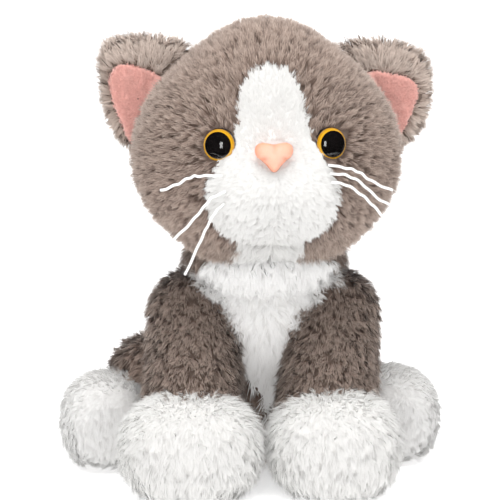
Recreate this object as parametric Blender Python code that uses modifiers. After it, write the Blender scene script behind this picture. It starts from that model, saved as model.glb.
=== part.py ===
"""A sitting plush cat, built from its sewn panels, stuffing, safety eyes, nose, whiskers and jointed limbs.

Metres, +Z up. The cat looks along -Y, and its own right side is at -X. The origin is on the floor, in the
middle of the base panel. Panels are the pile fabric with its pile: their outer faces are the fur's surface.
"""

import math

import bmesh
import bpy
from mathutils import Matrix, Vector
from mathutils.bvhtree import BVHTree

LEFT, RIGHT = "left", "right"  # as the cat is seen from its front
SIDE = {LEFT: -1, RIGHT: 1}

# Fabric and fits
WALL = 0.0035  # pile fabric with the pile pressed flat
FIT = 0.0004  # between pieces that touch
STUFFING_FIT = 0.0014  # between the fabric and its stuffing
SEAM = 0.0003  # half the gap at a seam between two panels
NECK_ROOM = 0.0010  # round the ball that the head turns on
LIMB_ROOM = 0.0021  # between the body and a limb that swings against it
TAIL_ROOM = 0.0016  # round the tail's root
REGION_DEPTH = 0.120  # of the outlines that part a skin into its panels
BLOCK_SIZE = 0.600  # of the blocks that cut a form at a plane
HOLE_REACH = 0.020  # of the cutters that open the face for the eyes and the nose

# Body, a pear with a flat base
BODY_HEIGHT = 0.109
BODY_HALF_WIDTH = 0.051
BODY_HALF_DEPTH = 0.048
BODY_SINK = 0.015  # how much of the pear is pressed flat by its own weight
BODY_RADII = Vector((BODY_HALF_WIDTH, BODY_HALF_DEPTH, (BODY_HEIGHT + BODY_SINK) / 2))
BODY_MIDDLE_Y = 0.014
BODY_CENTRE = Vector((0, BODY_MIDDLE_Y, BODY_HEIGHT - BODY_RADII.z))
BODY_POWER = 2.9
BODY_LEAN = 0.12  # how far the body leans forward for each unit of height
BASE_MARGIN = 0.017  # from the body's side to the edge of its base panel
BASE_RADIUS = min(BODY_RADII.x, BODY_RADII.y) - BASE_MARGIN
BASE_THICKNESS = 0.0030
PELLET_BAG_RADII = Vector((0.022, 0.022, 0.016))

# Chest bib: its right half's outline from the front, out from the middle and up from the body's top
BIB_EDGE = [(0.034, 0.011), (0.034, -0.019), (0.020, -0.045), (0.013, -0.069)]
BIB_LOW = 0.012
BIB_BACK_Y = 0.004

# Neck
NECK_RADIUS = 0.022
NECK_PIVOT = Vector((0, -0.002, BODY_HEIGHT + 0.003))

# Head
HEAD_ABOVE_BODY = 0.0034  # the room in which the head nods
HEAD_RADII = Vector((0.067, 0.055, 0.062))
HEAD_CENTRE = Vector((0, -0.016, BODY_HEIGHT + HEAD_ABOVE_BODY + HEAD_RADII.z))
HEAD_POWER = 2.35
HEAD_TOP_NARROWING = 0.45  # at the very top of the head
HEAD_TOP_ONSET = 1.7  # how late that narrowing comes, going up
MUZZLE_BELOW_CENTRE = 0.024
MUZZLE_HALF_SIZE = (0.036, 0.025)
MUZZLE_DEPTH = 0.019
MUZZLE_RISE = 1.6  # how soon the muzzle reaches its full depth, going forward
CHEEK_BELOW_CENTRE = 0.023
CHEEK_HALF_HEIGHT = 0.026
CHEEK_SPREAD = 0.04
JOWL_X = 0.033
JOWL_HALF_WIDTH = 0.016
JOWL_DROP = 0.006  # how far the full cheeks hang below the chin
JOWL_RISE = 2.0  # how soon the jowls reach their full drop, going forward
# The blaze and muzzle panel's right half, seen from the front and measured from the head's centre, from
# its top
# point to the chin; the panel ends half way round the head
BLAZE_EDGE = [
    (0.000, 0.043),
    (0.010, 0.039),
    (0.017, 0.028),
    (0.020, 0.013),
    (0.022, -0.001),
    (0.031, -0.011),
    (0.038, -0.021),
    (0.038, -0.032),
    (0.032, -0.043),
    (0.018, -0.050),
    (0.000, -0.052),
]

# Ears: the right one's outline seen from the front, out from the head's side and up from its centre;
# its first and
# last points are inside the head
EAR_OUTLINE = [
    (-0.027, 0.035),
    (-0.011, 0.048),
    (0.007, 0.052),
    (0.019, 0.045),
    (0.020, 0.029),
    (0.014, 0.011),
    (0.005, -0.003),
    (-0.009, -0.009),
]
EAR_LINING_OUTLINE = [
    (-0.021, 0.033),
    (-0.005, 0.042),
    (0.007, 0.045),
    (0.014, 0.039),
    (0.014, 0.029),
    (0.009, 0.014),
    (0.001, 0.001),
    (-0.009, -0.001),
]
EAR_FRONT_Y = -0.008
EAR_THICKNESS = 0.008
EAR_LINING_THICKNESS = 0.0018

# Eyes
EYE_SPACING = 0.057
EYE_ABOVE_CENTRE = 0.004
EYE_DIAMETER = 0.0170
EYE_TURN = math.radians(20)  # outward from straight ahead
EYE_LIFT = 0.08  # and a little up
EYE_SEAT = 0.0030  # how deep the rim sits in the pile
EYE_DOME = 0.0062
EYE_PLATE = 0.0008
IRIS_THICKNESS = 0.0005
LENS_WALL = 0.0010
IRIS_INSET = 0.0017  # from the lens's rim to the iris's
PUPIL_SHARE = 0.68  # of the eye's diameter
SHANK_DIAMETER = 0.0048
SHANK_LENGTH = 0.0120
WASHER_RIM = 0.0046  # from the shank's side to the washer's edge
WASHER_THICKNESS = 0.0014

# Nose
NOSE_BELOW_CENTRE = 0.0005
NOSE_WIDTH = 0.0200
NOSE_TALL = 0.0155
NOSE_THICKNESS = 0.0090
NOSE_PROUD = 0.0022  # from the muzzle's surface to the middle of the nose
NOSE_SHANK_LENGTH = 0.0160
NOSE_WASHER_DEPTH = 0.0100
NOSE_NARROWING = 0.62  # how much each half height narrows it, below its lobes
NOSE_LOBES_AT = 0.35  # of its height above its middle

# Whiskers: stiff cords. Each has its root, out from the middle of the muzzle and up from the head's
# centre, and then its points, measured from the root: out to its side, forward and up
WHISKER_DIAMETER = 0.0014
WHISKER_CLEARANCE = 0.0030  # from the muzzle's surface to the root's middle
WHISKERS = {
    "whisker_left_top": (
        (0.0274, -0.0102),
        [
            (0.011, 0.0015, 0.0003), (0.0161, 0.0010, -0.0006),
            (0.0225, -0.001, -0.0043), (0.0303, -0.0045, -0.0078),
        ],
    ),
    "whisker_left_middle": (
        (0.0258, -0.0177),
        [
            (0.0069, 0.002, -0.0029), (0.0115, 0.0025, -0.0081),
            (0.0173, 0.002, -0.015), (0.0270, -0.001, -0.0255),
        ],
    ),
    "whisker_left_low": (
        (0.0262, -0.0241),
        [
            (0.0052, 0.0025, -0.0047), (0.0087, 0.003, -0.011),
            (0.0127, 0.0025, -0.0197), (0.0198, 0.000, -0.036),
        ],
    ),
    "whisker_right_top": (
        (0.0258, -0.0056),
        [
            (0.0093, 0.0015, -0.0015), (0.0156, 0.001, -0.0038),
            (0.022, -0.001, -0.0085), (0.0332, -0.0055, -0.0142),
        ],
    ),
    "whisker_right_middle": (
        (0.0268, -0.0099),
        [
            (0.0075, 0.002, -0.0005), (0.015, 0.002, -0.0043),
            (0.0237, 0.000, -0.0124), (0.0339, -0.004, -0.0187),
        ],
    ),
    "whisker_right_low": (
        (0.0275, -0.0140),
        [
            (0.0070, 0.002, -0.0012), (0.015, 0.0025, -0.0064),
            (0.0214, 0.001, -0.0127), (0.0290, -0.002, -0.0213),
        ],
    ),
}

# Front legs: a tapered sleeve from the shoulder to the wrist, and a big soft paw. The inner sides and
# the backs are set, so a fatter leg grows outward and forward
SHOULDER_RADIUS = 0.0240
SHOULDER_INNER = {LEFT: 0.014, RIGHT: 0.012}
SHOULDER_Y = -0.012
SHOULDER_BELOW_TOP = 0.004
WRIST_RADIUS = 0.0260
WRIST_INNER = {LEFT: 0.015, RIGHT: 0.001}
WRIST_BACK_Y = -0.033
WRIST_ABOVE_FLOOR = 0.008
PAW_RADII = {LEFT: Vector((0.036, 0.034, 0.028)), RIGHT: Vector((0.0335, 0.034, 0.028))}
PAW_INNER = {LEFT: 0.007, RIGHT: -0.004}
PAW_BACK_Y = -0.042
PAW_SINK = 0.003  # how much of the paw is pressed flat
CUFF_HEIGHT = 0.046  # where the sleeve ends behind the paw
LIMB_POWER = 2.3  # of the paws and feet: how boxy they are
PAW_SOLE_RADIUS = 0.021

# Hind legs: a short thigh at the hip, and a round foot whose flat sole looks forward
HIP_RADIUS = 0.0240
HIP_INSET = {LEFT: 0.005, RIGHT: 0.015}
HIP_Y = 0.024
HIP_HEIGHT = {LEFT: 0.040, RIGHT: 0.035}
KNEE_RADIUS = 0.0225
KNEE_FROM_HIP = {LEFT: Vector((-0.013, -0.015, 0.003)), RIGHT: Vector((0.010, -0.013, -0.003))}
FOOT_RADII = Vector((0.025, 0.032, 0.0265))
FOOT_INNER = {LEFT: 0.059, RIGHT: 0.044}
FOOT_FRONT_Y = {LEFT: -0.037, RIGHT: -0.035}
FOOT_FRONT = 0.028  # from the foot's centre to its flat sole
FOOT_SINK = 0.003
ANKLE_FROM_KNEE = 0.40  # where the grey thigh ends, as a share of the way from knee to foot
FOOT_SOLE_RADIUS = 0.0165

# Tail: points from its root to its tip, measured from the root's place on the floor, with each one's lift
TAIL_RADIUS = 0.0125
TAIL_TIP_SHARE = 0.45  # the tip's radius, as a share of the tail's
TAIL_TIP_SLOPE = 2.4  # how soon the tail is full thickness, going back from its tip
TAIL_POINTS = [
    (0.000, 0.000, 0.0075),
    (0.002, 0.016, 0.0045),
    (0.010, 0.030, 0.0020),
    (0.026, 0.036, 0.0015),
    (0.042, 0.033, 0.0015),
    (0.055, 0.024, 0.0015),
]

# Places that follow from the sizes above
SHOULDER, WRIST, PAW_CENTRE, HIP, KNEE, FOOT_CENTRE = {}, {}, {}, {}, {}, {}
for side, sign in SIDE.items():
    SHOULDER[side] = Vector(
        (
            sign * (SHOULDER_INNER[side] + SHOULDER_RADIUS),
            SHOULDER_Y,
            BODY_HEIGHT - SHOULDER_BELOW_TOP - SHOULDER_RADIUS,
        )
    )
    WRIST[side] = Vector(
        (
            sign * (WRIST_INNER[side] + WRIST_RADIUS),
            WRIST_BACK_Y - WRIST_RADIUS,
            WRIST_ABOVE_FLOOR + WRIST_RADIUS,
        )
    )
    paw_radii = PAW_RADII[side]
    PAW_CENTRE[side] = Vector(
        (
            sign * (PAW_INNER[side] + paw_radii.x),
            PAW_BACK_Y - paw_radii.y,
            paw_radii.z - PAW_SINK,
        )
    )
    HIP[side] = Vector((sign * (BODY_RADII.x - HIP_INSET[side]), HIP_Y, HIP_HEIGHT[side]))
    KNEE[side] = HIP[side] + KNEE_FROM_HIP[side]
    FOOT_CENTRE[side] = Vector(
        (
            sign * (FOOT_INNER[side] + FOOT_RADII.x),
            FOOT_FRONT_Y[side] + FOOT_FRONT,
            FOOT_RADII.z - FOOT_SINK,
        )
    )
TAIL_ROOT_Y = BODY_MIDDLE_Y + BODY_RADII.y
TAIL_ROUTE = [(x, TAIL_ROOT_Y + y, TAIL_RADIUS + lift) for x, y, lift in TAIL_POINTS]
PUPIL_DIAMETER = EYE_DIAMETER * PUPIL_SHARE
WASHER_DIAMETER = SHANK_DIAMETER + 2 * WASHER_RIM

# Finish: colour, roughness
GREY_PLUSH = ((0.190, 0.150, 0.125), 0.95)
WHITE_PLUSH = ((0.860, 0.850, 0.830), 0.95)
PINK_VELOUR = ((0.640, 0.300, 0.250), 0.90)
STUFFING = ((0.900, 0.900, 0.880), 1.00)
PELLET_CLOTH = ((0.700, 0.700, 0.720), 0.90)
BLACK_PLASTIC = ((0.008, 0.007, 0.007), 0.15)
AMBER_PAINT = ((0.780, 0.370, 0.010), 0.30)
CLEAR_PLASTIC = ((0.950, 0.950, 0.950), 0.05)
NOSE_PLASTIC = ((0.960, 0.560, 0.440), 0.45)
WASHER_PLASTIC = ((0.850, 0.850, 0.850), 0.40)
WHISKER_CORD = ((0.920, 0.920, 0.910), 0.50)

for old in list(bpy.data.objects):
    bpy.data.objects.remove(old)

parts = bpy.data.collections.new("plush_cat")
cutters = bpy.data.collections.new("cutters")
for group in (parts, cutters):
    bpy.context.scene.collection.children.link(group)


# ---------------------------------------------------------------- helpers
def material(name, finish):
    colour, roughness = finish
    found = bpy.data.materials.get(name)
    if found:
        return found
    made = bpy.data.materials.new(name)
    made.use_nodes = True
    shader = made.node_tree.nodes["Principled BSDF"]
    shader.inputs["Base Color"].default_value = (*colour, 1)
    shader.inputs["Roughness"].default_value = roughness
    shader.inputs["Metallic"].default_value = 0
    return made


def pivot(name, place):
    empty = bpy.data.objects.new(name, None)
    empty.location = place
    empty.empty_display_size = 0.01
    parts.objects.link(empty)
    return empty


def node(form, name, body, finish_name, finish):
    """Makes a form one of the cat's pieces: its name, the pivot it moves with, and its finish."""
    form.name = name
    for group in list(form.users_collection):
        group.objects.unlink(form)
    parts.objects.link(form)
    form.hide_render = False
    form.display_type = "TEXTURED"
    form.parent = body
    form.matrix_parent_inverse = Matrix.Translation(-body.location)
    form.data.materials.clear()
    form.data.materials.append(material(finish_name, finish))
    form.data.shade_smooth()
    return form


def add_guide(mesh, name):
    """Every form starts as a cutter, hidden from the render."""
    form = bpy.data.objects.new(name, mesh)
    form.hide_render = True
    form.display_type = "WIRE"
    cutters.objects.link(form)
    return form


def finish_bmesh(bm, name):
    mesh = bpy.data.meshes.new(name)
    bmesh.ops.recalc_face_normals(bm, faces=bm.faces)
    bm.to_mesh(mesh)
    bm.free()
    return add_guide(mesh, name)


def combine(form, other, operation="DIFFERENCE", solver="EXACT"):
    step = form.modifiers.new(other.name, "BOOLEAN")
    step.operation = operation
    step.object = other
    step.solver = solver
    return form


def stuffed_form(name, centre, radii, power=2.0, segments=14, rings=8, inset=0, reshape=None, settle=None):
    """A stuffed shape: a sphere blown towards a box as power goes up, then pulled into shape.

    It is made smaller all round by inset, and settle then presses it flat against what it lies on.
    """
    bm = bmesh.new()
    bmesh.ops.create_uvsphere(bm, u_segments=segments, v_segments=rings, radius=1)
    for vert in bm.verts:
        reach = sum(abs(value) ** power for value in vert.co) ** (-1 / power)
        point = centre + Vector(value * reach * radius for value, radius in zip(vert.co, radii))
        vert.co = reshape(point) if reshape else point
    bmesh.ops.triangulate(bm, faces=bm.faces, quad_method="FIXED")
    bm.normal_update()
    places = [vert.co - vert.normal * inset for vert in bm.verts]
    for vert, place in zip(bm.verts, places):
        vert.co = settle(place) if settle else place
    return finish_bmesh(bm, name)


def capsule(name, start, end, start_radius, end_radius, segments=12, rings=6):
    """A limb with a round end at each of two points."""
    turn = (start - end).to_track_quat("Z", "X")
    bm = bmesh.new()
    bmesh.ops.create_uvsphere(bm, u_segments=segments, v_segments=rings, radius=1)
    for vert in bm.verts:
        at_start = vert.co.z > -0.01
        middle, radius = (start, start_radius) if at_start else (end, end_radius)
        vert.co = middle + turn @ vert.co * radius
    return finish_bmesh(bm, name)


def ball(name, centre, radius):
    return stuffed_form(name, centre, Vector((radius, radius, radius)), segments=16, rings=10)


DISC_SPIN = math.radians(7)  # keeps a disc's corners off the seams' planes


def disc(name, centre, radius, thickness, direction=Vector((0, 0, 1)), sides=16):
    """A flat round plate with its middle at the centre."""
    bm = bmesh.new()
    bmesh.ops.create_cone(
        bm, cap_ends=True, segments=sides, radius1=radius, radius2=radius, depth=thickness
    )
    turn = direction.to_track_quat("Z", "Y").to_matrix().to_4x4()
    spin = Matrix.Rotation(DISC_SPIN, 4, "Z")
    bmesh.ops.transform(bm, matrix=Matrix.Translation(centre) @ turn @ spin, verts=bm.verts)
    return finish_bmesh(bm, name)


def half_space(name, point, normal):
    """A big block that starts at a plane and goes the way of its normal."""
    bm = bmesh.new()
    bmesh.ops.create_cube(bm, size=BLOCK_SIZE)
    turn = normal.to_track_quat("Z", "Y").to_matrix().to_4x4()
    lift = Matrix.Translation((0, 0, BLOCK_SIZE / 2))
    bmesh.ops.transform(bm, matrix=Matrix.Translation(point) @ turn @ lift, verts=bm.verts)
    return finish_bmesh(bm, name)


def meshed(curve_object):
    """Turns a curve object into a mesh form with welded caps."""
    bpy.context.view_layer.update()
    graph = bpy.context.evaluated_depsgraph_get()
    mesh = bpy.data.meshes.new_from_object(curve_object.evaluated_get(graph))
    mesh.transform(curve_object.matrix_world)
    name = curve_object.name
    bpy.data.objects.remove(curve_object)
    bm = bmesh.new()
    bm.from_mesh(mesh)
    bmesh.ops.remove_doubles(bm, verts=bm.verts, dist=1e-6)
    bpy.data.meshes.remove(mesh)
    return finish_bmesh(bm, name)


def outline_plate(name, points, front_y, thickness, smooth=True):
    """A flat outline in the X-Z plane, cut from a sheet that runs back from front_y."""
    curve = bpy.data.curves.new(name, "CURVE")
    curve.dimensions = "2D"
    curve.fill_mode = "BOTH"
    curve.extrude = thickness / 2
    curve.resolution_u = 3
    spline = curve.splines.new("BEZIER" if smooth else "POLY")
    if smooth:
        spline.bezier_points.add(len(points) - 1)
        for knot, (x, z) in zip(spline.bezier_points, points):
            knot.co = (x, z, 0)
            knot.handle_left_type = knot.handle_right_type = "AUTO"
    else:
        spline.points.add(len(points) - 1)
        for knot, (x, z) in zip(spline.points, points):
            knot.co = (x, z, 0, 1)
    spline.use_cyclic_u = True
    sheet = bpy.data.objects.new(name, curve)
    sheet.location = (0, front_y + thickness / 2, 0)
    sheet.rotation_euler = (math.pi / 2, 0, 0)
    cutters.objects.link(sheet)
    return meshed(sheet)


def tube(name, points, radius, sides_resolution=2, tapers=None):
    """A cord or a tail along a smooth curve through its points."""
    curve = bpy.data.curves.new(name, "CURVE")
    curve.dimensions = "3D"
    curve.bevel_depth = radius
    curve.bevel_resolution = sides_resolution
    curve.use_fill_caps = True
    route = smooth_route(points, 2)
    spline = curve.splines.new("POLY")
    spline.points.add(len(route) - 1)
    for index, (knot, point) in enumerate(zip(spline.points, route)):
        knot.co = (*point, 1)
        knot.radius = tapers(index / (len(route) - 1)) if tapers else 1
    line = bpy.data.objects.new(name, curve)
    cutters.objects.link(line)
    return meshed(line)


def smooth_route(points, steps):
    """Points along a Catmull-Rom curve through the given ones."""
    points = [Vector(point) for point in points]
    padded = [2 * points[0] - points[1], *points, 2 * points[-1] - points[-2]]
    route = []
    for before, start, end, after in zip(padded, padded[1:], padded[2:], padded[3:]):
        for step in range(steps):
            t = step / steps
            route.append(
                0.5
                * (
                    2 * start
                    + (end - before) * t
                    + (2 * before - 5 * start + 4 * end - after) * t**2
                    + (3 * start - before - 3 * end + after) * t**3
                )
            )
    return [*route, points[-1]]


def turned(name, profile, origin, direction, closed=False, steps=12):
    """A shape turned round the line through origin along direction, from (radius, height) points, top first."""
    edges = [(index, index + 1) for index in range(len(profile) - 1)]
    if closed:
        edges.append((len(profile) - 1, 0))
    mesh = bpy.data.meshes.new(name)
    mesh.from_pydata([(radius, 0, height) for radius, height in profile], edges, [])
    form = add_guide(mesh, name)
    form.location = origin
    form.rotation_mode = "QUATERNION"
    form.rotation_quaternion = direction.to_track_quat("Z", "Y")
    turn = form.modifiers.new("turn", "SCREW")
    turn.axis = "Z"
    turn.angle = math.tau
    turn.steps = steps
    turn.render_steps = steps
    turn.use_merge_vertices = True
    turn.merge_threshold = 0.00001
    return form


# ---------------------------------------------------------------- pivots
torso = pivot("torso", Vector((0, 0, 0)))
neck = pivot("neck", NECK_PIVOT)
head = pivot("head", NECK_PIVOT)
front_leg = {side: pivot(f"front_{side}_leg", SHOULDER[side]) for side in SIDE}
hind_leg = {side: pivot(f"hind_{side}_leg", HIP[side]) for side in SIDE}
tail = pivot("tail", Vector(TAIL_ROUTE[0]))


# ---------------------------------------------------------------- limb forms, which also cut the body
def arm_form(side, inset, name):
    """The front leg's tapered upper part, made smaller all round by inset."""
    return capsule(
        name, SHOULDER[side], WRIST[side], SHOULDER_RADIUS - inset, WRIST_RADIUS - inset
    )


def paw_form(side, inset, name):
    """The paw, pressed flat on the floor."""
    def flat(point):
        return Vector((point.x, point.y, max(point.z, inset)))

    return stuffed_form(
        name, PAW_CENTRE[side], PAW_RADII[side], LIMB_POWER, inset=inset, settle=flat
    )


def front_leg_form(side, inset, name):
    """The arm and the paw as one shape."""
    return combine(arm_form(side, inset, name), paw_form(side, inset, f"{name}_paw"), "UNION")


def hind_leg_form(side, inset, name):
    """The thigh and the foot as one shape, with the foot flat below and in front."""
    front = FOOT_CENTRE[side].y - FOOT_FRONT + inset

    def flat(point):
        return Vector((point.x, max(point.y, front), max(point.z, inset)))

    leg = capsule(name, HIP[side], KNEE[side], HIP_RADIUS - inset, KNEE_RADIUS - inset)
    foot = stuffed_form(
        f"{name}_foot", FOOT_CENTRE[side], FOOT_RADII, LIMB_POWER, inset=inset, settle=flat
    )
    return combine(leg, foot, "UNION")


def tail_form(inset, name, root_reach=0.0):
    """The tail's tube, short of the tip by inset, with its root drawn out by root_reach."""
    points = [Vector(point) for point in TAIL_ROUTE]
    points[0] += (points[0] - points[1]).normalized() * root_reach
    points[-1] += (points[-2] - points[-1]).normalized() * 2 * inset

    def taper(share):
        return min(1.0, TAIL_TIP_SHARE + TAIL_TIP_SLOPE * (1 - share))

    return tube(name, points, TAIL_RADIUS - inset, 2, taper)


limb_rooms = [front_leg_form(side, -LIMB_ROOM, f"front_{side}_room") for side in SIDE]
limb_rooms += [hind_leg_form(side, -LIMB_ROOM, f"hind_{side}_room") for side in SIDE]
limb_rooms.append(ball("tail_root_room", Vector(TAIL_ROUTE[0]), TAIL_RADIUS + TAIL_ROOM))
neck_room = ball("neck_room", NECK_PIVOT, NECK_RADIUS + NECK_ROOM)


# ---------------------------------------------------------------- body
def body_form(inset, name):
    def sit(point):
        lean = BODY_LEAN * (point.z - BODY_CENTRE.z)
        return Vector((point.x, point.y - lean, max(point.z, inset)))

    return stuffed_form(
        name, BODY_CENTRE, BODY_RADII, BODY_POWER, 18, 11, inset=inset, settle=sit
    )


def bib_outline(grow):
    """The chest bib's outline from the front: wide under the chin and narrow between the legs."""
    right = [(x + grow, BODY_HEIGHT + up) for x, up in BIB_EDGE]
    right.append((BIB_EDGE[-1][0] + grow, BIB_LOW - grow))
    return right + [(-x, z) for x, z in reversed(right)]


base_middle = Vector((0, BODY_CENTRE.y + BODY_LEAN * BODY_CENTRE.z, 0))
base_hole = disc("base_hole", base_middle, BASE_RADIUS + FIT, 4 * WALL)
body_inner = body_form(WALL, "body_inner")


def body_panel(name, region):
    """The part of the body's skin that lies in a region, open where the limbs and the neck are sewn on."""
    panel = combine(body_form(0, name), region, "INTERSECT")
    for room in (body_inner, neck_room, *limb_rooms):
        combine(panel, room)
    return combine(panel, base_hole, solver="MANIFOLD")


bib_front_y = BIB_BACK_Y - REGION_DEPTH
bib_sheet = outline_plate("bib_sheet", bib_outline(-SEAM), bib_front_y, REGION_DEPTH, False)
bib_hole = outline_plate("bib_hole", bib_outline(SEAM), bib_front_y, REGION_DEPTH, False)
node(body_panel("chest_bib", bib_sheet), "chest_bib", torso, "white plush", WHITE_PLUSH)
for side, sign in SIDE.items():
    half = half_space(f"body_{side}_half", Vector((sign * SEAM, 0, 0)), Vector((sign, 0, 0)))
    panel = combine(body_panel(f"body_{side}_panel", half), bib_hole)
    node(panel, f"body_{side}_panel", torso, "grey plush", GREY_PLUSH)

base = disc("base_panel", base_middle + Vector((0, 0, BASE_THICKNESS / 2)), BASE_RADIUS, BASE_THICKNESS)
node(base, "base_panel", torso, "grey plush", GREY_PLUSH)


def bag_form(grow, name):
    """The pellet bag, flat on the base panel; its room, which is larger by grow, opens downward."""
    floor = WALL + FIT - 3 * grow

    def sit(point):
        return Vector((point.x, point.y, max(point.z, floor)))

    middle = base_middle + Vector((0, 0, WALL + FIT))
    return stuffed_form(name, middle, PELLET_BAG_RADII, 2.4, 12, 6, inset=-grow, settle=sit)


node(bag_form(0, "pellet_bag"), "pellet_bag", torso, "pellet cloth", PELLET_CLOTH)
filling = body_form(WALL + STUFFING_FIT, "body_stuffing")
for room in (neck_room, bag_form(FIT, "pellet_bag_room"), *limb_rooms):
    combine(filling, room)
node(filling, "body_stuffing", torso, "stuffing", STUFFING)

node(ball("neck_stuffing", NECK_PIVOT, NECK_RADIUS), "neck_stuffing", neck, "stuffing", STUFFING)


# ---------------------------------------------------------------- head
def head_form(inset, name):
    """A round head with full cheeks, and a muzzle that stands out below the eyes."""
    half_wide, half_tall = MUZZLE_HALF_SIZE

    def pull(point):
        above = point.z - HEAD_CENTRE.z
        spread = (point.x / half_wide) ** 2 + ((above + MUZZLE_BELOW_CENTRE) / half_tall) ** 2
        in_front = max(0.0, (HEAD_CENTRE.y - point.y) / HEAD_RADII.y)
        out = MUZZLE_DEPTH * math.exp(-spread) * min(1.0, MUZZLE_RISE * in_front)
        at_cheek = math.exp(-(((above + CHEEK_BELOW_CENTRE) / CHEEK_HALF_HEIGHT) ** 2))
        at_jowl = math.exp(-(((abs(point.x) - JOWL_X) / JOWL_HALF_WIDTH) ** 2))
        low = max(0.0, -above / HEAD_RADII.z)
        drop = JOWL_DROP * at_jowl * low * min(1.0, JOWL_RISE * in_front)
        at_top = max(0.0, above / HEAD_RADII.z) ** HEAD_TOP_ONSET
        wide = 1 + CHEEK_SPREAD * at_cheek - HEAD_TOP_NARROWING * at_top
        return Vector((point.x * wide, point.y - out, point.z - drop))

    return stuffed_form(
        name, HEAD_CENTRE, HEAD_RADII, HEAD_POWER, 20, 12, inset=inset, reshape=pull
    )


head_outer = head_form(0, "head_outer")
head_inner = head_form(WALL, "head_inner")
face_faces = BVHTree.FromPolygons(
    [vert.co.copy() for vert in head_outer.data.vertices],
    [face.vertices[:] for face in head_outer.data.polygons],
)


def on_face(x, above):
    """The point on the front of the head at a distance to the side and a height above its centre."""
    start = Vector((x, HEAD_CENTRE.y - REGION_DEPTH, HEAD_CENTRE.z + above))
    return face_faces.ray_cast(start, Vector((0, 1, 0)))[0]


def blaze_outline(grow):
    """Both halves of the panel's outline, grown all round."""
    edge = [(x, HEAD_CENTRE.z + above) for x, above in BLAZE_EDGE]
    right = [(x + grow, z) for x, z in edge[1:-1]]
    left = [(-x, z) for x, z in reversed(right)]
    return [(0, edge[0][1] + grow), *right, (0, edge[-1][1] - grow), *left]


blaze_front_y = HEAD_CENTRE.y - REGION_DEPTH
blaze_sheet = outline_plate(
    "blaze_sheet", blaze_outline(-SEAM), blaze_front_y, REGION_DEPTH, False
)
blaze_hole = outline_plate("blaze_hole", blaze_outline(SEAM), blaze_front_y, REGION_DEPTH, False)

washer_room = WASHER_DIAMETER + 2 * FIT
eye_place, eye_look = {}, {}
for side, sign in SIDE.items():
    ahead = Vector((sign * math.sin(EYE_TURN), -math.cos(EYE_TURN), EYE_LIFT))
    eye_look[side] = ahead.normalized()
    surface = on_face(sign * EYE_SPACING / 2, EYE_ABOVE_CENTRE)
    eye_place[side] = surface - eye_look[side] * EYE_SEAT
nose_look = Vector((0, -1, 0.12)).normalized()
nose_place = on_face(0, -NOSE_BELOW_CENTRE)


def socket(name, place, look, width, room_above, depth):
    """A round hole along look, from above a place to a depth below it."""
    middle = place + look * (room_above - depth) / 2
    return disc(name, middle, width / 2, room_above + depth, look, 12)


face_holes = [neck_room]
filling_holes = [neck_room]
for side in SIDE:
    place, look = eye_place[side], eye_look[side]
    seat = socket(f"{side}_eye_seat", place, look, EYE_DIAMETER + 2 * FIT, HOLE_REACH, FIT)
    face_holes.append(seat)
    filling_holes.append(seat)
    shank_room = SHANK_DIAMETER + 2 * FIT
    face_holes.append(socket(f"{side}_eye_hole", place, look, shank_room, WALL, HOLE_REACH))
    deep = SHANK_LENGTH + 2 * FIT
    pocket = socket(f"{side}_eye_pocket", place, look, washer_room, HOLE_REACH, deep)
    filling_holes.append(pocket)


def nose_form(grow, name):
    """A soft triangle, full across the top and narrow at its lower tip, half sunk in the pile."""
    def narrow(point):
        across = 1 - NOSE_NARROWING * max(0.0, NOSE_LOBES_AT - point.z / NOSE_TALL)
        return Vector((point.x * across, point.y, point.z))

    radii = Vector((NOSE_WIDTH / 2, NOSE_THICKNESS / 2, NOSE_TALL / 2))
    form = stuffed_form(name, Vector((0, 0, 0)), radii, 2.3, 12, 6, inset=-grow, reshape=narrow)
    turn = nose_look.to_track_quat("-Y", "Z").to_matrix().to_4x4()
    form.data.transform(Matrix.Translation(nose_place + nose_look * NOSE_PROUD) @ turn)
    return form


face_holes.append(nose_form(FIT, "nose_seat"))
face_holes.append(
    socket("nose_hole", nose_place, nose_look, SHANK_DIAMETER + 2 * FIT, HOLE_REACH, HOLE_REACH)
)
deep = NOSE_SHANK_LENGTH + 2 * FIT
filling_holes.append(socket("nose_pocket", nose_place, nose_look, washer_room, HOLE_REACH, deep))
nose_shank = socket("nose_shank", nose_place, nose_look, SHANK_DIAMETER, 0, NOSE_SHANK_LENGTH)


def head_panel(name, region):
    """The part of the head's skin that lies in a region, with its holes for the eyes and the nose."""
    panel = combine(head_form(0, name), region, "INTERSECT")
    for hole in (head_inner, *face_holes):
        combine(panel, hole)
    return panel


face = head_panel("face_blaze_panel", blaze_sheet)
node(face, "face_blaze_panel", head, "white plush", WHITE_PLUSH)
for side, sign in SIDE.items():
    half = half_space(f"head_{side}_half", Vector((sign * SEAM, 0, 0)), Vector((sign, 0, 0)))
    panel = combine(head_panel(f"head_{side}_panel", half), blaze_hole)
    node(panel, f"head_{side}_panel", head, "grey plush", GREY_PLUSH)

head_filling = head_form(WALL + STUFFING_FIT, "head_stuffing")
for hole in filling_holes:
    combine(head_filling, hole)
node(head_filling, "head_stuffing", head, "stuffing", STUFFING)

# ---------------------------------------------------------------- ears
ear_cut = head_form(-FIT, "ear_cut")


def ear_outline(sign, points):
    return [(sign * (HEAD_RADII.x + out), HEAD_CENTRE.z + up) for out, up in points]


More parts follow.
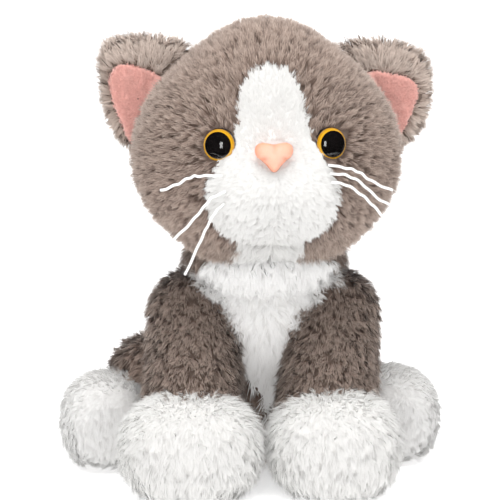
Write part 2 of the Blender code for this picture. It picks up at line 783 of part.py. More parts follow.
for side, sign in SIDE.items():
    outline = ear_outline(sign, EAR_OUTLINE)
    back = outline_plate(f"{side}_ear_back", outline, EAR_FRONT_Y, EAR_THICKNESS)
    combine(back, ear_cut)
    node(back, f"{side}_ear_back", head, "grey plush", GREY_PLUSH)
    outline = ear_outline(sign, EAR_LINING_OUTLINE)
    lining_y = EAR_FRONT_Y - FIT - EAR_LINING_THICKNESS
    lining = outline_plate(f"{side}_ear_lining", outline, lining_y, EAR_LINING_THICKNESS)
    combine(lining, ear_cut)
    node(lining, f"{side}_ear_lining", head, "pink velour", PINK_VELOUR)


# ---------------------------------------------------------------- eyes
def dome(radius, height, bottom, points=3):
    """A dome's outer side from its top to its rim, as (radius, height) points."""
    angles = [index / points * math.pi / 2 for index in range(points + 1)]
    return [(radius * math.sin(a), bottom + height * math.cos(a)) for a in angles]


def shank(top, end):
    """The outer side of a shank, from a flat back at height top down to its end."""
    radius = SHANK_DIAMETER / 2
    return [(radius, top), (radius, end), (0, end)]


def washer_profile(top):
    """A lock washer's section, pressed on its shank from inside the head."""
    low = top - WASHER_THICKNESS
    hole, rim = SHANK_DIAMETER / 2 + FIT, WASHER_DIAMETER / 2
    return [(hole, top), (rim, top), (rim, low), (hole, low)]


for side in SIDE:
    place, look = eye_place[side], eye_look[side]
    radius = EYE_DIAMETER / 2
    pupil_radius = PUPIL_DIAMETER / 2
    iris_low = EYE_PLATE + FIT
    iris_top = iris_low + IRIS_THICKNESS
    pupil_dome = EYE_DOME - LENS_WALL - FIT - EYE_PLATE
    body_profile = dome(pupil_radius, pupil_dome, EYE_PLATE)
    body_profile += [(radius - LENS_WALL - FIT, EYE_PLATE), (radius - LENS_WALL - FIT, 0)]
    body_profile += shank(0, -SHANK_LENGTH)
    eye_body = turned(f"{side}_eye_body", body_profile, place, look)
    node(eye_body, f"{side}_eye_body", head, "black plastic", BLACK_PLASTIC)

    inner, outer = pupil_radius + FIT, radius - IRIS_INSET
    iris_profile = [(inner, iris_top), (outer, iris_top), (outer, iris_low), (inner, iris_low)]
    iris = turned(f"{side}_eye_iris", iris_profile, place, look, closed=True)
    node(iris, f"{side}_eye_iris", head, "amber paint", AMBER_PAINT)

    lens_profile = dome(radius, EYE_DOME, FIT)
    hollow = dome(radius - LENS_WALL, EYE_DOME - LENS_WALL, FIT)
    lens_profile += list(reversed(hollow))
    lens = turned(f"{side}_eye_lens", lens_profile, place, look)
    node(lens, f"{side}_eye_lens", head, "clear plastic", CLEAR_PLASTIC)

    washer = turned(
        f"{side}_eye_washer", washer_profile(-WALL - FIT), place, look, closed=True
    )
    node(washer, f"{side}_eye_washer", head, "washer plastic", WASHER_PLASTIC)


# ---------------------------------------------------------------- nose
nose = combine(nose_form(0, "nose"), nose_shank, "UNION")
node(nose, "nose", head, "nose plastic", NOSE_PLASTIC)
washer = turned(
    "nose_washer", washer_profile(-NOSE_WASHER_DEPTH), nose_place, nose_look, closed=True
)
node(washer, "nose_washer", head, "washer plastic", WASHER_PLASTIC)

# ---------------------------------------------------------------- whiskers
for name, ((out, above), steps) in WHISKERS.items():
    sign = SIDE[LEFT] if LEFT in name else SIDE[RIGHT]
    root = on_face(sign * out, above) - Vector((0, WHISKER_CLEARANCE, 0))
    route = [root] + [root + Vector((sign * x, -forward, z)) for x, forward, z in steps]
    node(tube(name, route, WHISKER_DIAMETER / 2), name, head, "whisker cord", WHISKER_CORD)


# ---------------------------------------------------------------- front legs
for side in SIDE:
    inner = front_leg_form(side, WALL, f"front_{side}_inner")
    above = half_space(
        f"front_{side}_above", Vector((0, 0, CUFF_HEIGHT + SEAM)), Vector((0, 0, 1))
    )
    below = half_space(
        f"front_{side}_below", Vector((0, 0, CUFF_HEIGHT - SEAM)), Vector((0, 0, -1))
    )
    sole_middle = Vector((PAW_CENTRE[side].x, PAW_CENTRE[side].y, 0))
    sole_hole = disc(f"front_{side}_sole_hole", sole_middle, PAW_SOLE_RADIUS + FIT, 4 * WALL)
    sleeve = combine(arm_form(side, 0, f"front_{side}_sleeve"), above, "INTERSECT")
    combine(combine(sleeve, inner), paw_form(side, -2 * SEAM, f"front_{side}_paw_room"))
    node(sleeve, f"front_{side}_sleeve", front_leg[side], "grey plush", GREY_PLUSH)
    paw = combine(arm_form(side, 0, f"front_{side}_paw"), below, "INTERSECT")
    combine(paw, paw_form(side, 0, f"front_{side}_paw_top"), "UNION")
    combine(combine(paw, inner), sole_hole)
    node(paw, f"front_{side}_paw", front_leg[side], "white plush", WHITE_PLUSH)
    lifted = sole_middle + Vector((0, 0, BASE_THICKNESS / 2))
    sole = disc(f"front_{side}_sole", lifted, PAW_SOLE_RADIUS, BASE_THICKNESS)
    node(sole, f"front_{side}_sole", front_leg[side], "white plush", WHITE_PLUSH)
    filling = front_leg_form(side, WALL + STUFFING_FIT, f"front_{side}_stuffing")
    node(filling, f"front_{side}_stuffing", front_leg[side], "stuffing", STUFFING)


# ---------------------------------------------------------------- hind legs
for side in SIDE:
    inner = hind_leg_form(side, WALL, f"hind_{side}_inner")
    knee, foot = KNEE[side], FOOT_CENTRE[side]
    way = (foot - knee).normalized()
    ankle = knee.lerp(foot, ANKLE_FROM_KNEE)
    before = half_space(f"hind_{side}_before", ankle - way * SEAM, -way)
    after = half_space(f"hind_{side}_after", ankle + way * SEAM, way)
    forward = Vector((0, -1, 0))
    sole_middle = foot + forward * FOOT_FRONT
    sole_hole = disc(
        f"hind_{side}_sole_hole", sole_middle, FOOT_SOLE_RADIUS + FIT, 4 * WALL, forward
    )
    thigh = combine(hind_leg_form(side, 0, f"hind_{side}_thigh"), before, "INTERSECT")
    combine(thigh, inner)
    node(thigh, f"hind_{side}_thigh", hind_leg[side], "grey plush", GREY_PLUSH)
    foot_skin = combine(hind_leg_form(side, 0, f"hind_{side}_foot"), after, "INTERSECT")
    combine(combine(foot_skin, inner), sole_hole)
    node(foot_skin, f"hind_{side}_foot", hind_leg[side], "white plush", WHITE_PLUSH)
    sunk = sole_middle - forward * BASE_THICKNESS / 2
    sole = disc(f"hind_{side}_sole", sunk, FOOT_SOLE_RADIUS, BASE_THICKNESS, forward)
    node(sole, f"hind_{side}_sole", hind_leg[side], "white plush", WHITE_PLUSH)
    filling = hind_leg_form(side, WALL + STUFFING_FIT, f"hind_{side}_stuffing")
    node(filling, f"hind_{side}_stuffing", hind_leg[side], "stuffing", STUFFING)

# ---------------------------------------------------------------- tail
tail_skin = combine(tail_form(0, "tail_skin"), tail_form(WALL, "tail_inner", FIT))
node(tail_skin, "tail_skin", tail, "grey plush", GREY_PLUSH)
node(tail_form(WALL + STUFFING_FIT, "tail_stuffing"), "tail_stuffing", tail, "stuffing", STUFFING)
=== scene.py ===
"""A sitting plush cat in long grey and white pile, dressed over its jointed frame."""

import math

import bpy
import numpy as np
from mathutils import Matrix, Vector


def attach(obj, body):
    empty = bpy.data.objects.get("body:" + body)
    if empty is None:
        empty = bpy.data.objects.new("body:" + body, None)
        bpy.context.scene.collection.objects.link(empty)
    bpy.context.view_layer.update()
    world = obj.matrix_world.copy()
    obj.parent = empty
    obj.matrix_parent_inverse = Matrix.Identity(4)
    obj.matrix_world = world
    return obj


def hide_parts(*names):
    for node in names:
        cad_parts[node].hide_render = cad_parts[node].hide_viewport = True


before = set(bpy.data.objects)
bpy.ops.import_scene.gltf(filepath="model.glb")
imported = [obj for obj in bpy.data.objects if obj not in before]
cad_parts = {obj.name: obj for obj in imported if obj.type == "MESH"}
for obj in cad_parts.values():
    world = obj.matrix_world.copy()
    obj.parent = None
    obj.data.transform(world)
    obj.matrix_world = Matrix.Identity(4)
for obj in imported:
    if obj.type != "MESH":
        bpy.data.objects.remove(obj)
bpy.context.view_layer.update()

# ---------------------------------------------------------------- camera
# A long lens at the height of the cat's chin, a little to the cat's own right and looking slightly down.
CAMERA_AIM = Vector((-0.0072, 0.0, 0.1128))
CAMERA_DISTANCE = 1.30
CAMERA_AZIMUTH = math.radians(-4.5)
CAMERA_RISE = math.radians(10.0)
LENS_MM = 176.0

camera_data = bpy.data.cameras.new("camera")
camera_data.lens = LENS_MM
camera_data.clip_start = 0.05
camera = bpy.data.objects.new("camera", camera_data)
away = Vector(
    (
        math.sin(CAMERA_AZIMUTH) * math.cos(CAMERA_RISE),
        -math.cos(CAMERA_AZIMUTH) * math.cos(CAMERA_RISE),
        math.sin(CAMERA_RISE),
    )
)
camera.location = CAMERA_AIM + away * CAMERA_DISTANCE
camera.rotation_euler = (-away).to_track_quat("-Z", "Y").to_euler()
bpy.context.scene.collection.objects.link(camera)
bpy.context.scene.camera = camera


class Value:
    """One output of a shader node, with the usual arithmetic."""

    def __init__(self, tree, socket):
        self.tree = tree
        self.socket = socket

    def maths(self, operation, *terms):
        step = self.tree.nodes.new("ShaderNodeMath")
        step.operation = operation
        for place, term in zip(step.inputs, terms):
            if isinstance(term, Value):
                self.tree.links.new(term.socket, place)
            else:
                place.default_value = term
        return Value(self.tree, step.outputs[0])

    def __add__(self, other):
        return self.maths("ADD", self, other)

    def __radd__(self, other):
        return self.maths("ADD", other, self)

    def __sub__(self, other):
        return self.maths("SUBTRACT", self, other)

    def __rsub__(self, other):
        return self.maths("SUBTRACT", other, self)

    def __mul__(self, other):
        return self.maths("MULTIPLY", self, other)

    def __rmul__(self, other):
        return self.maths("MULTIPLY", other, self)

    def limited(self):
        return self.maths("MAXIMUM", self.maths("MINIMUM", self, 1.0), 0.0)


class Finish:
    """A material with a Principled shader, and one way of adding nodes to it."""

    def __init__(self, name, roughness, **constants):
        self.material = bpy.data.materials.new(name)
        self.material.use_nodes = True
        self.tree = self.material.node_tree
        self.shader = self.tree.nodes["Principled BSDF"]
        self.shader.inputs["Roughness"].default_value = roughness
        for socket, value in constants.items():
            self.shader.inputs[socket.replace("_", " ")].default_value = value

    def node(self, kind, settings=None, output=0, **inputs):
        made = self.tree.nodes.new(kind)
        for key, value in (settings or {}).items():
            setattr(made, key, value)
        for socket, value in inputs.items():
            socket_key = int(socket[1:]) if socket[0] == "_" else socket.replace("_", " ")
            place = made.inputs[socket_key]
            if isinstance(value, Value):
                self.tree.links.new(value.socket, place)
            else:
                place.default_value = value
        return Value(self.tree, made.outputs[output])

    def attribute(self, name):
        return self.node("ShaderNodeAttribute", {"attribute_name": name}, "Fac")

    def where(self):
        return self.node("ShaderNodeTexCoord", output="Object")

    def noise(self, scale, detail=3.0, vector=None):
        place = vector or self.where()
        return self.node("ShaderNodeTexNoise", None, "Fac", Vector=place, Scale=scale, Detail=detail)

    def mix(self, share, first, second, blend="MIX"):
        """Two colours mixed by a share, each an (r, g, b, 1) or a Value."""
        return self.node(
            "ShaderNodeMix", {"data_type": "RGBA", "blend_type": blend}, 2, _0=share, _6=first, _7=second
        )

    def feed(self, socket, value):
        self.tree.links.new(value.socket, self.shader.inputs[socket])

    def bump(self, height, strength, distance):
        self.feed("Normal", self.node("ShaderNodeBump", Strength=strength, Distance=distance, Height=height))


def colour(red, green, blue):
    return (red, green, blue, 1.0)


# ---------------------------------------------------------------- whiskers
# Six stiff white cords, 1.6 mm thick, knotted inside the head and drawn out through the muzzle, three a side.
# They curve out and down in front of the cheeks; their ends are cut bare.
WHISKER_DIAMETER = 0.0014
WHISKER_ROUTES = {
    "whisker_left_top": [
        (-0.0274, -0.0784, 0.1642), (-0.0384, -0.0799, 0.1645), (-0.0435, -0.0794, 0.1636),
        (-0.0499, -0.0774, 0.1599), (-0.0577, -0.0739, 0.1564),
    ],
    "whisker_left_middle": [
        (-0.0258, -0.0809, 0.1567), (-0.0327, -0.0829, 0.1538), (-0.0373, -0.0834, 0.1486),
        (-0.0431, -0.0829, 0.1417), (-0.0528, -0.0799, 0.1312),
    ],
    "whisker_left_low": [
        (-0.0262, -0.0785, 0.1503), (-0.0314, -0.0810, 0.1456), (-0.0349, -0.0815, 0.1393),
        (-0.0389, -0.0810, 0.1306), (-0.0460, -0.0785, 0.1143),
    ],
    "whisker_right_top": [
        (0.0258, -0.0767, 0.1688), (0.0351, -0.0782, 0.1673), (0.0414, -0.0777, 0.1650),
        (0.0478, -0.0757, 0.1603), (0.0590, -0.0712, 0.1546),
    ],
    "whisker_right_middle": [
        (0.0268, -0.0775, 0.1645), (0.0343, -0.0795, 0.1640), (0.0418, -0.0795, 0.1602),
        (0.0505, -0.0775, 0.1521), (0.0607, -0.0735, 0.1458),
    ],
    "whisker_right_low": [
        (0.0275, -0.0784, 0.1604), (0.0345, -0.0804, 0.1592), (0.0425, -0.0809, 0.1540),
        (0.0489, -0.0794, 0.1477), (0.0565, -0.0764, 0.1391),
    ],
}


def smooth_route(points, steps):
    """Points along a Catmull-Rom curve through the given ones."""
    points = np.array(points, float)
    padded = np.vstack([2 * points[0] - points[1], points, 2 * points[-1] - points[-2]])
    route = []
    for before, start, end, after in zip(padded, padded[1:], padded[2:], padded[3:]):
        for step in range(steps):
            t = step / steps
            route.append(
                0.5
                * (
                    2 * start
                    + (end - before) * t
                    + (2 * before - 5 * start + 4 * end - after) * t**2
                    + (3 * start - before - 3 * end + after) * t**3
                )
            )
    return np.array([*route, points[-1]])


whisker_finish = Finish("whisker_cord", 0.55, Specular_IOR_Level=0.4)
fibre = whisker_finish.noise(900.0)
whisker_finish.feed(
    "Base Color", whisker_finish.mix(fibre, colour(0.80, 0.80, 0.79), colour(0.95, 0.95, 0.94))
)
whisker_finish.bump(fibre, 0.4, 0.0003)

for name, points in WHISKER_ROUTES.items():
    route = smooth_route(points, 6)
    share = np.linspace(0, 1, len(route))
    route[:, 2] += 0.00035 * np.sin(share * 29 + len(name)) * np.minimum(1, 4 * share)
    line = bpy.data.curves.new(name, "CURVE")
    line.dimensions = "3D"
    line.bevel_depth = WHISKER_DIAMETER / 2
    line.bevel_resolution = 4
    line.use_fill_caps = True
    spline = line.splines.new("POLY")
    spline.points.add(len(route) - 1)
    for knot, point in zip(spline.points, route):
        knot.co = (*point, 1.0)
    whisker = bpy.data.objects.new(f"{name}_cord", line)
    bpy.context.scene.collection.objects.link(whisker)
    line.materials.append(whisker_finish.material)
    length = float(np.linalg.norm(np.diff(route, axis=0), axis=1).sum())
    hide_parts(name)
    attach(whisker, "head")


# ---------------------------------------------------------------- head
# A ball of three pile panels: a left and a right one in grey, and a white blaze and muzzle panel let into
# the front. They are sewn from the back, turned and stuffed tight, and the pile hides the seams.
SKIN_INSET = 0.0026  # from the frame's surface, which stands for the middle of the pile, to the cloth
HEAD_RADII = np.array([0.067, 0.055, 0.062])
HEAD_CENTRE = np.array([0.0, -0.016, 0.1744])
HEAD_POWER = 2.35
BLAZE_EDGE = np.array(
    [
        (0.000, 0.0415), (0.0075, 0.0395), (0.0125, 0.0350), (0.0150, 0.0280), (0.0172, 0.0137),
        (0.0195, 0.0080),
        (0.0230, 0.0019), (0.0265, -0.0042), (0.0298, -0.0103), (0.0318, -0.0162), (0.0324, -0.0249),
        (0.0303, -0.0322), (0.0235, -0.0408), (0.0165, -0.0450), (0.0165, -0.0800),
    ]
)
BLAZE_MIDDLE = -0.0015
EYES = {
    "left": (np.array([-0.02748, -0.06751, 0.17816]), np.array([-0.3409, -0.9367, 0.0797])),
    "right": (np.array([0.02748, -0.06702, 0.17816]), np.array([0.3409, -0.9367, 0.0797])),
}
NOSE_PLACE = np.array([-0.0015, -0.07883, 0.1739])
SIDES = {"left": -1.0, "right": 1.0}


class Form:
    """A closed surface: its points, its triangles, and a smooth normal at each point."""

    def __init__(self, points, triangles):
        self.points = points
        self.triangles = triangles
        corners = points[triangles]
        cross = np.cross(corners[:, 1] - corners[:, 0], corners[:, 2] - corners[:, 0])
        self.areas = np.linalg.norm(cross, axis=1) / 2
        normals = np.zeros_like(points)
        for corner in range(3):
            np.add.at(normals, triangles[:, corner], cross)
        self.normals = unit(normals)

    def inset(self, depth):
        """The same surface moved inwards."""
        return Form(self.points - self.normals * depth, self.triangles)

    def parted(self, keep):
        """The triangles whose middles are kept."""
        middles = self.points[self.triangles].mean(axis=1)
        return Form(self.points, self.triangles[keep(middles)])

    def sample(self, rng, per_mm2):
        """Places scattered evenly over the surface, with their normals."""
        count = int(self.areas.sum() * 1e6 * per_mm2)
        chosen = rng.choice(len(self.triangles), count, p=self.areas / self.areas.sum())
        a, b = rng.random(count), rng.random(count)
        folded = a + b > 1
        a[folded], b[folded] = 1 - a[folded], 1 - b[folded]
        shares = np.stack([1 - a - b, a, b], axis=1)[:, :, None]
        corners = self.triangles[chosen]
        places = (self.points[corners] * shares).sum(axis=1)
        return places, unit((self.normals[corners] * shares).sum(axis=1))


def unit(vectors):
    return vectors / np.maximum(np.linalg.norm(vectors, axis=-1, keepdims=True), 1e-12)


def sphere_grid(segments, rings):
    """A unit sphere's points and triangles."""
    around = np.arange(segments) / segments * math.tau
    down = np.arange(1, rings) / rings * math.pi
    ring = np.stack(
        [np.outer(np.sin(down), np.cos(around)), np.outer(np.sin(down), np.sin(around)),
         np.outer(np.cos(down), np.ones(segments))], axis=2
    ).reshape(-1, 3)
    points = np.vstack([[0, 0, 1], ring, [0, 0, -1]])
    index = np.arange((rings - 1) * segments).reshape(rings - 1, segments) + 1
    beside = np.roll(index, -1, axis=1)
    last = len(points) - 1
    triangles = [
        np.stack([np.zeros(segments, int), index[0], beside[0]], axis=1),
        np.stack([np.full(segments, last), beside[-1], index[-1]], axis=1),
        np.stack([index[:-1], index[1:], beside[1:]], axis=2).reshape(-1, 3),
        np.stack([index[:-1], beside[1:], beside[:-1]], axis=2).reshape(-1, 3),
    ]
    return points, np.vstack(triangles)


def stuffed(centre, radii, power, segments=96, rings=64, reshape=None):
    """A ball blown towards a box as power goes up, then pulled into shape."""
    points, triangles = sphere_grid(segments, rings)
    reach = (np.abs(points) ** power).sum(axis=1) ** (-1 / power)
    points = centre + points * reach[:, None] * radii
    return Form(reshape(points) if reshape else points, triangles)


def falloff(values, middle, spread):
    return np.exp(-(((values - middle) / spread) ** 2))


def pull_head(points):
    """Full cheeks and jowls, and a muzzle of two soft lobes that stands out below the eyes."""
    x, y, z = points.T
    above = z - HEAD_CENTRE[2]
    in_front = np.maximum(0, (HEAD_CENTRE[1] - y) / HEAD_RADII[1])
    up_from = above + 0.024
    beside = (np.abs(x) / 0.036) ** 3
    spread = beside + np.where(up_from > 0, (up_from / 0.025) ** 2, np.abs(up_from / 0.0215) ** 3)
    out = 0.020 * np.exp(-spread) * np.minimum(1, 1.6 * in_front)
    groove = 0.0022 * falloff(x, 0, 0.0035) * falloff(above, -0.024, 0.014) * np.minimum(1, 2 * in_front)
    at_cheek = falloff(above, -0.023, 0.026)
    at_jowl = falloff(np.abs(x), 0.033, 0.016)
    drop = 0.006 * at_jowl * np.maximum(0, -above / HEAD_RADII[2]) * np.minimum(1, 2 * in_front)
    at_top = np.maximum(0, above / HEAD_RADII[2]) ** 1.7
    wide = 1 + 0.04 * at_cheek - 0.45 * at_top
    return np.stack([x * wide, y - out + groove, z - drop], axis=1)


def in_blaze(places):
    """Whether each place is on the white panel in the front of the head."""
    across, up = np.abs(places[:, 0] - BLAZE_MIDDLE), places[:, 2] - HEAD_CENTRE[2]
    edge = np.interp(-up, -BLAZE_EDGE[:, 1], BLAZE_EDGE[:, 0], left=0)
    return (across < edge) & (places[:, 1] < HEAD_CENTRE[1])


def add_piece(name, mesh, finish, body, smooth=True):
    """Puts a mesh in the scene as one of the cat's pieces."""
    piece = bpy.data.objects.new(name, mesh)
    bpy.context.scene.collection.objects.link(piece)
    mesh.materials.append(finish.material)
    if smooth:
        mesh.shade_smooth()
    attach(piece, body)
    return piece


def bare_mesh(name, points, corners, starts):
    """A mesh from flat arrays of points, of the corners of its faces, and of where each face starts."""
    mesh = bpy.data.meshes.new(name)
    mesh.vertices.add(len(points))
    mesh.vertices.foreach_set("co", np.asarray(points, np.float32).ravel())
    mesh.loops.add(len(corners))
    mesh.loops.foreach_set("vertex_index", np.asarray(corners, np.int32))
    mesh.polygons.add(len(starts))
    mesh.polygons.foreach_set("loop_start", np.asarray(starts, np.int32))
    mesh.update(calc_edges=True)
    return mesh


def add_cloth(name, form, finish, body, slot, *nodes):
    """The cloth side of a panel, which stands for the frame's nodes."""
    used, triangles = np.unique(form.triangles, return_inverse=True)
    triangles = triangles.reshape(-1, 3)
    mesh = bare_mesh(name, form.points[used], triangles.ravel(), np.arange(len(triangles)) * 3)
    piece = add_piece(name, mesh, finish, body)
    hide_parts(*nodes)
    return piece


STRANDS_IN_TUFT = 9


def add_pile(name, finish, body, slot, rng, places, normals, comb, length, lean=40.0, width=0.00040,
             tuft=0.0013, gather=0.35, shake=18.0, count=STRANDS_IN_TUFT, lift=(0.0, 0.0, 0.0)):
    """Tufts of pile at the given places, combed along comb; lengths and leans are one value or one for each.

    The light falls on the pile as on the cloth under it, turned by lift where the cloth's edge is thin.
    """
    total = len(places)
    length = np.broadcast_to(length, total) * rng.uniform(0.78, 1.15, total)
    lean = np.radians(np.broadcast_to(lean, total) + rng.normal(0, 9, total))
    flat = unit(comb - normals * (comb * normals).sum(axis=1, keepdims=True))
    aside = np.cross(normals, flat)
    turn = np.radians(rng.normal(0, shake, total))[:, None]
    flat, aside = flat * np.cos(turn) + aside * np.sin(turn), aside * np.cos(turn) - flat * np.sin(turn)
    tone = rng.random(total)

    owner = np.repeat(np.arange(total), count)
    each = len(owner)
    n, f, s = normals[owner], flat[owner], aside[owner]
    angle, far = rng.random(each) * math.tau, np.sqrt(rng.random(each)) * tuft
    spot = (f * np.cos(angle)[:, None] + s * np.sin(angle)[:, None]) * far[:, None]
    reach = (length[owner] * rng.uniform(0.75, 1.1, each))[:, None]
    rise = lean[owner] + np.radians(rng.normal(0, 7, each))
    sway = rng.normal(0, 0.10, each)[:, None]
    low_way = n * np.cos(rise)[:, None] + f * np.sin(rise)[:, None] + s * sway
    bend = np.minimum(rise + np.radians(26), math.pi * 0.52)
    high_way = n * np.cos(bend)[:, None] + f * np.sin(bend)[:, None] + s * sway
    root = places[owner] + spot
    middle = places[owner] + spot * (1 - 0.45 * gather) + low_way * reach * 0.5
    tip = places[owner] + spot * (1 - gather) + low_way * reach * 0.5 + high_way * reach * 0.5
    roll = rng.uniform(-0.9, 0.9, each)[:, None]
    for line in (root, middle, tip):
        line[:, 2] = np.maximum(line[:, 2], 0.0007)
    across = unit(s * np.cos(roll) + np.cross(low_way, s) * np.sin(roll)) * width / 2
    facing = np.cross(across, low_way)
    lit = unit(n + np.array(lift))
    outward = np.sign((facing * lit).sum(axis=1, keepdims=True))
    across, facing = across * outward, facing * outward
    points = np.stack(
        [root - across, root + across, middle + across * 0.85, middle - across * 0.85, tip], axis=1
    )

    first = np.arange(each)[:, None] * 5
    corners = np.hstack([first + [0, 1, 2, 3], first + [3, 2, 4]])
    starts = np.hstack([np.arange(each)[:, None] * 7, np.arange(each)[:, None] * 7 + 4])
    mesh = bare_mesh(name, points.reshape(-1, 3), corners.ravel(), starts.ravel())

    along = np.tile(np.array([0, 0, 0.5, 0.5, 1.0]), each)
    tones = np.repeat(np.clip(tone[owner] + rng.normal(0, 0.12, each), 0, 1), 5)
    for key, values in (("along", along), ("tone", tones)):
        mesh.attributes.new(key, "FLOAT", "POINT").data.foreach_set("value", values.astype(np.float32))
    shading = unit(unit(facing) * 0.25 + lit * 0.9)
    shading = np.repeat(shading, 5, axis=0)
    mesh.attributes.new("custom_normal", "FLOAT_VECTOR", "POINT").data.foreach_set(
        "vector", shading.astype(np.float32).ravel()
    )
    layout = mesh.uv_layers.new(name="OFBake")
    sides = np.array([-0.012, 0.012, 0.010, -0.010, -0.010, 0.010, 0.0])
    heights = np.array([0.02, 0.02, 0.5, 0.5, 0.5, 0.5, 0.98])
    across_map = 0.03 + 0.94 * tones[::5][:, None] + sides
    spread_map = np.stack([across_map, np.broadcast_to(heights, across_map.shape)], axis=2)
    layout.uv.foreach_set("vector", spread_map.astype(np.float32).ravel())
    pile = add_piece(name, mesh, finish, body, smooth=False)
    pile.visible_shadow = slot != "white_plush"  # white pile lets the light through
    return pile


def pile_finish(name, root, middle, tip, patch):
    """Long pile with painted shade at its roots, light at its tips, and a little different from tuft to tuft.
    """
    finish = Finish(name, 0.85, Sheen_Weight=0.25, Sheen_Roughness=0.5, Specular_IOR_Level=0.25)
    along, tone = finish.attribute("along"), finish.attribute("tone")
    low = finish.mix((along * 2.0).limited(), root, middle)
    blended = finish.mix((along * 2.0 - 1.0).limited(), low, tip)
    shade = 1.0 - patch + tone * (patch * 1.3) + finish.noise(38.0) * (patch * 0.7)
    grey = finish.node("ShaderNodeCombineColor", Red=shade, Green=shade, Blue=shade)
    finish.feed("Base Color", finish.mix(1.0, blended, grey, "MULTIPLY"))
    return finish


def cloth_finish(name, base):
    """The woven ground of the pile fabric, seen only deep between the tufts."""
    finish = Finish(name, 0.95, Specular_IOR_Level=0.1)
    weave = finish.noise(1400.0)
    finish.feed("Base Color", finish.mix(weave, colour(*[0.85 * c for c in base]), colour(*base)))
    finish.bump(weave, 0.5, 0.0004)
    return finish


grey_pile = pile_finish(
    "grey_pile", colour(0.122, 0.078, 0.061), colour(0.250, 0.181, 0.148), colour(0.570, 0.460, 0.390), 0.20
)
# Lit and shaded copies of one white pile: this brightest one is painted light where the head shades the
# chest, and the face's, paws' and feet's below are painted shade where the lamps fall strongest.
painted_light_white_pile = pile_finish(
    "painted_light_white_pile", colour(0.94, 0.93, 0.915), colour(0.97, 0.965, 0.955), colour(0.99, 0.985, 0.975), 0.02
)
painted_shade_face_pile = pile_finish(
    "painted_shade_face_pile", colour(0.70, 0.69, 0.675), colour(0.745, 0.74, 0.725), colour(0.79, 0.785, 0.77), 0.02
)
painted_shade_paw_pile = pile_finish(
    "painted_shade_paw_pile", colour(0.71, 0.70, 0.685), colour(0.755, 0.75, 0.735), colour(0.80, 0.79, 0.775), 0.02
)
painted_shade_foot_pile = pile_finish(
    "painted_shade_foot_pile", colour(0.67, 0.66, 0.65), colour(0.715, 0.71, 0.70), colour(0.76, 0.755, 0.745), 0.02
)
# The ears' front pile is a lighter copy of the grey pile: painted light where the thin fringe is lit through
# from behind.
painted_light_ear_pile = pile_finish(
    "painted_light_ear_pile", colour(0.380, 0.293, 0.245), colour(0.530, 0.430, 0.372), colour(0.780, 0.675, 0.600), 0.14
)
# The grey cloth is darker than the pile over it, as painted shade in the gaps between the tufts.
grey_cloth = cloth_finish("grey_cloth", (0.185, 0.138, 0.114))
# The white cloths are lit and shaded copies of one white too: painted light under the bib, painted shade
# under the face, paws and feet.
painted_light_white_cloth = cloth_finish("painted_light_white_cloth", (0.95, 0.94, 0.925))
painted_shade_face_cloth = cloth_finish("painted_shade_face_cloth", (0.80, 0.79, 0.775))
painted_shade_paw_cloth = cloth_finish("painted_shade_paw_cloth", (0.76, 0.75, 0.735))
painted_shade_foot_cloth = cloth_finish("painted_shade_foot_cloth", (0.72, 0.71, 0.70))

rng = np.random.default_rng(17)
head_form = stuffed(HEAD_CENTRE, HEAD_RADII, HEAD_POWER, 160, 110, pull_head)
head_cloth = head_form.inset(SKIN_INSET)

PANELS = {
    "face_blaze": (lambda p: in_blaze(p), painted_shade_face_pile, painted_shade_face_cloth, "white_plush", "face_blaze_panel"),
    "head_left": (
        lambda p: ~in_blaze(p) & (p[:, 0] < 0), grey_pile, grey_cloth, "grey_plush", "head_left_panel"
    ),
    "head_right": (
        lambda p: ~in_blaze(p) & (p[:, 0] >= 0), grey_pile, grey_cloth, "grey_plush", "head_right_panel"
    ),
}
for name, (keep, pile, cloth, slot_name, node) in PANELS.items():
    panel = head_cloth.parted(keep)
    add_cloth(f"{name}_cloth", panel, cloth, "head", slot_name, node)
    white = name == "face_blaze"
    places, normals = panel.sample(rng, 0.60 if white else 0.34)
    from_nose = places - (NOSE_PLACE + np.array([0, 0, 0.004]))
    comb = unit(from_nose)
    comb[:, 1] += 0.25
    length = np.full(len(places), 0.0044 if white else 0.0078)
    length[places[:, 2] < HEAD_CENTRE[2] - 0.047] = 0.0080
    lean = np.full(len(places), 44.0)
    clear = np.ones(len(places), bool)
    for centre, look in EYES.values():
        out = places - centre
        out -= look * (out @ look)[:, None]
        distance = np.linalg.norm(out, axis=1)
        near = np.exp(-np.maximum(0, distance - 0.0085) / 0.006) * (places[:, 1] < -0.03)
        comb = unit(comb + unit(out) * (1.8 * near)[:, None])
        length *= 1 - 0.45 * near
        clear &= (distance > (0.0068 if white else 0.0082)) | (places[:, 1] > -0.03)
    out = places - NOSE_PLACE
    distance = np.hypot(out[:, 0] / 0.0095, out[:, 2] / 0.0075)
    near = np.exp(-np.maximum(0, distance - 1) / 0.8) * (places[:, 1] < -0.03)
    length *= 1 - 0.45 * near
    clear &= (distance > 0.92) | (places[:, 1] > -0.03)
    below = falloff(places[:, 0], 0, 0.010) * (places[:, 2] < 0.172) * (places[:, 1] < -0.03)
    comb[:, 0] += np.sign(places[:, 0]) * below * 0.8
    add_pile(
        f"{name}_pile", pile, "head", slot_name, rng, places[clear], normals[clear], comb[clear],
        length[clear], lean[clear], 0.00028 if white else 0.00034, 0.0010 if white else 0.0012,
        gather=0.30, lift=(0.0, -0.7, -0.1) if white else (0.0, 0.0, 0.0)
    )

# ---------------------------------------------------------------- eyes
# Two plastic safety eyes, 17 mm across: a glossy black dome with an amber ring painted round it, under a
# clear lens. Each one's shank goes through the cloth into a lock washer inside the head.
EYE_RADIUS = 0.0086
EYE_DOME = 0.0066
PUPIL_EDGE = math.radians(52.5)
IRIS_EDGE = math.radians(71.0)
RIM_EDGE = math.radians(118.0)
LENS_EDGE = math.radians(92.0)
LENS_LIFT = 0.0003  # of the clear dome over the painted one
EDGE_LAP = 0.01  # radians that one painted band runs under the next
EYE_SEGMENTS = 64
IRIS_STEPS = 12


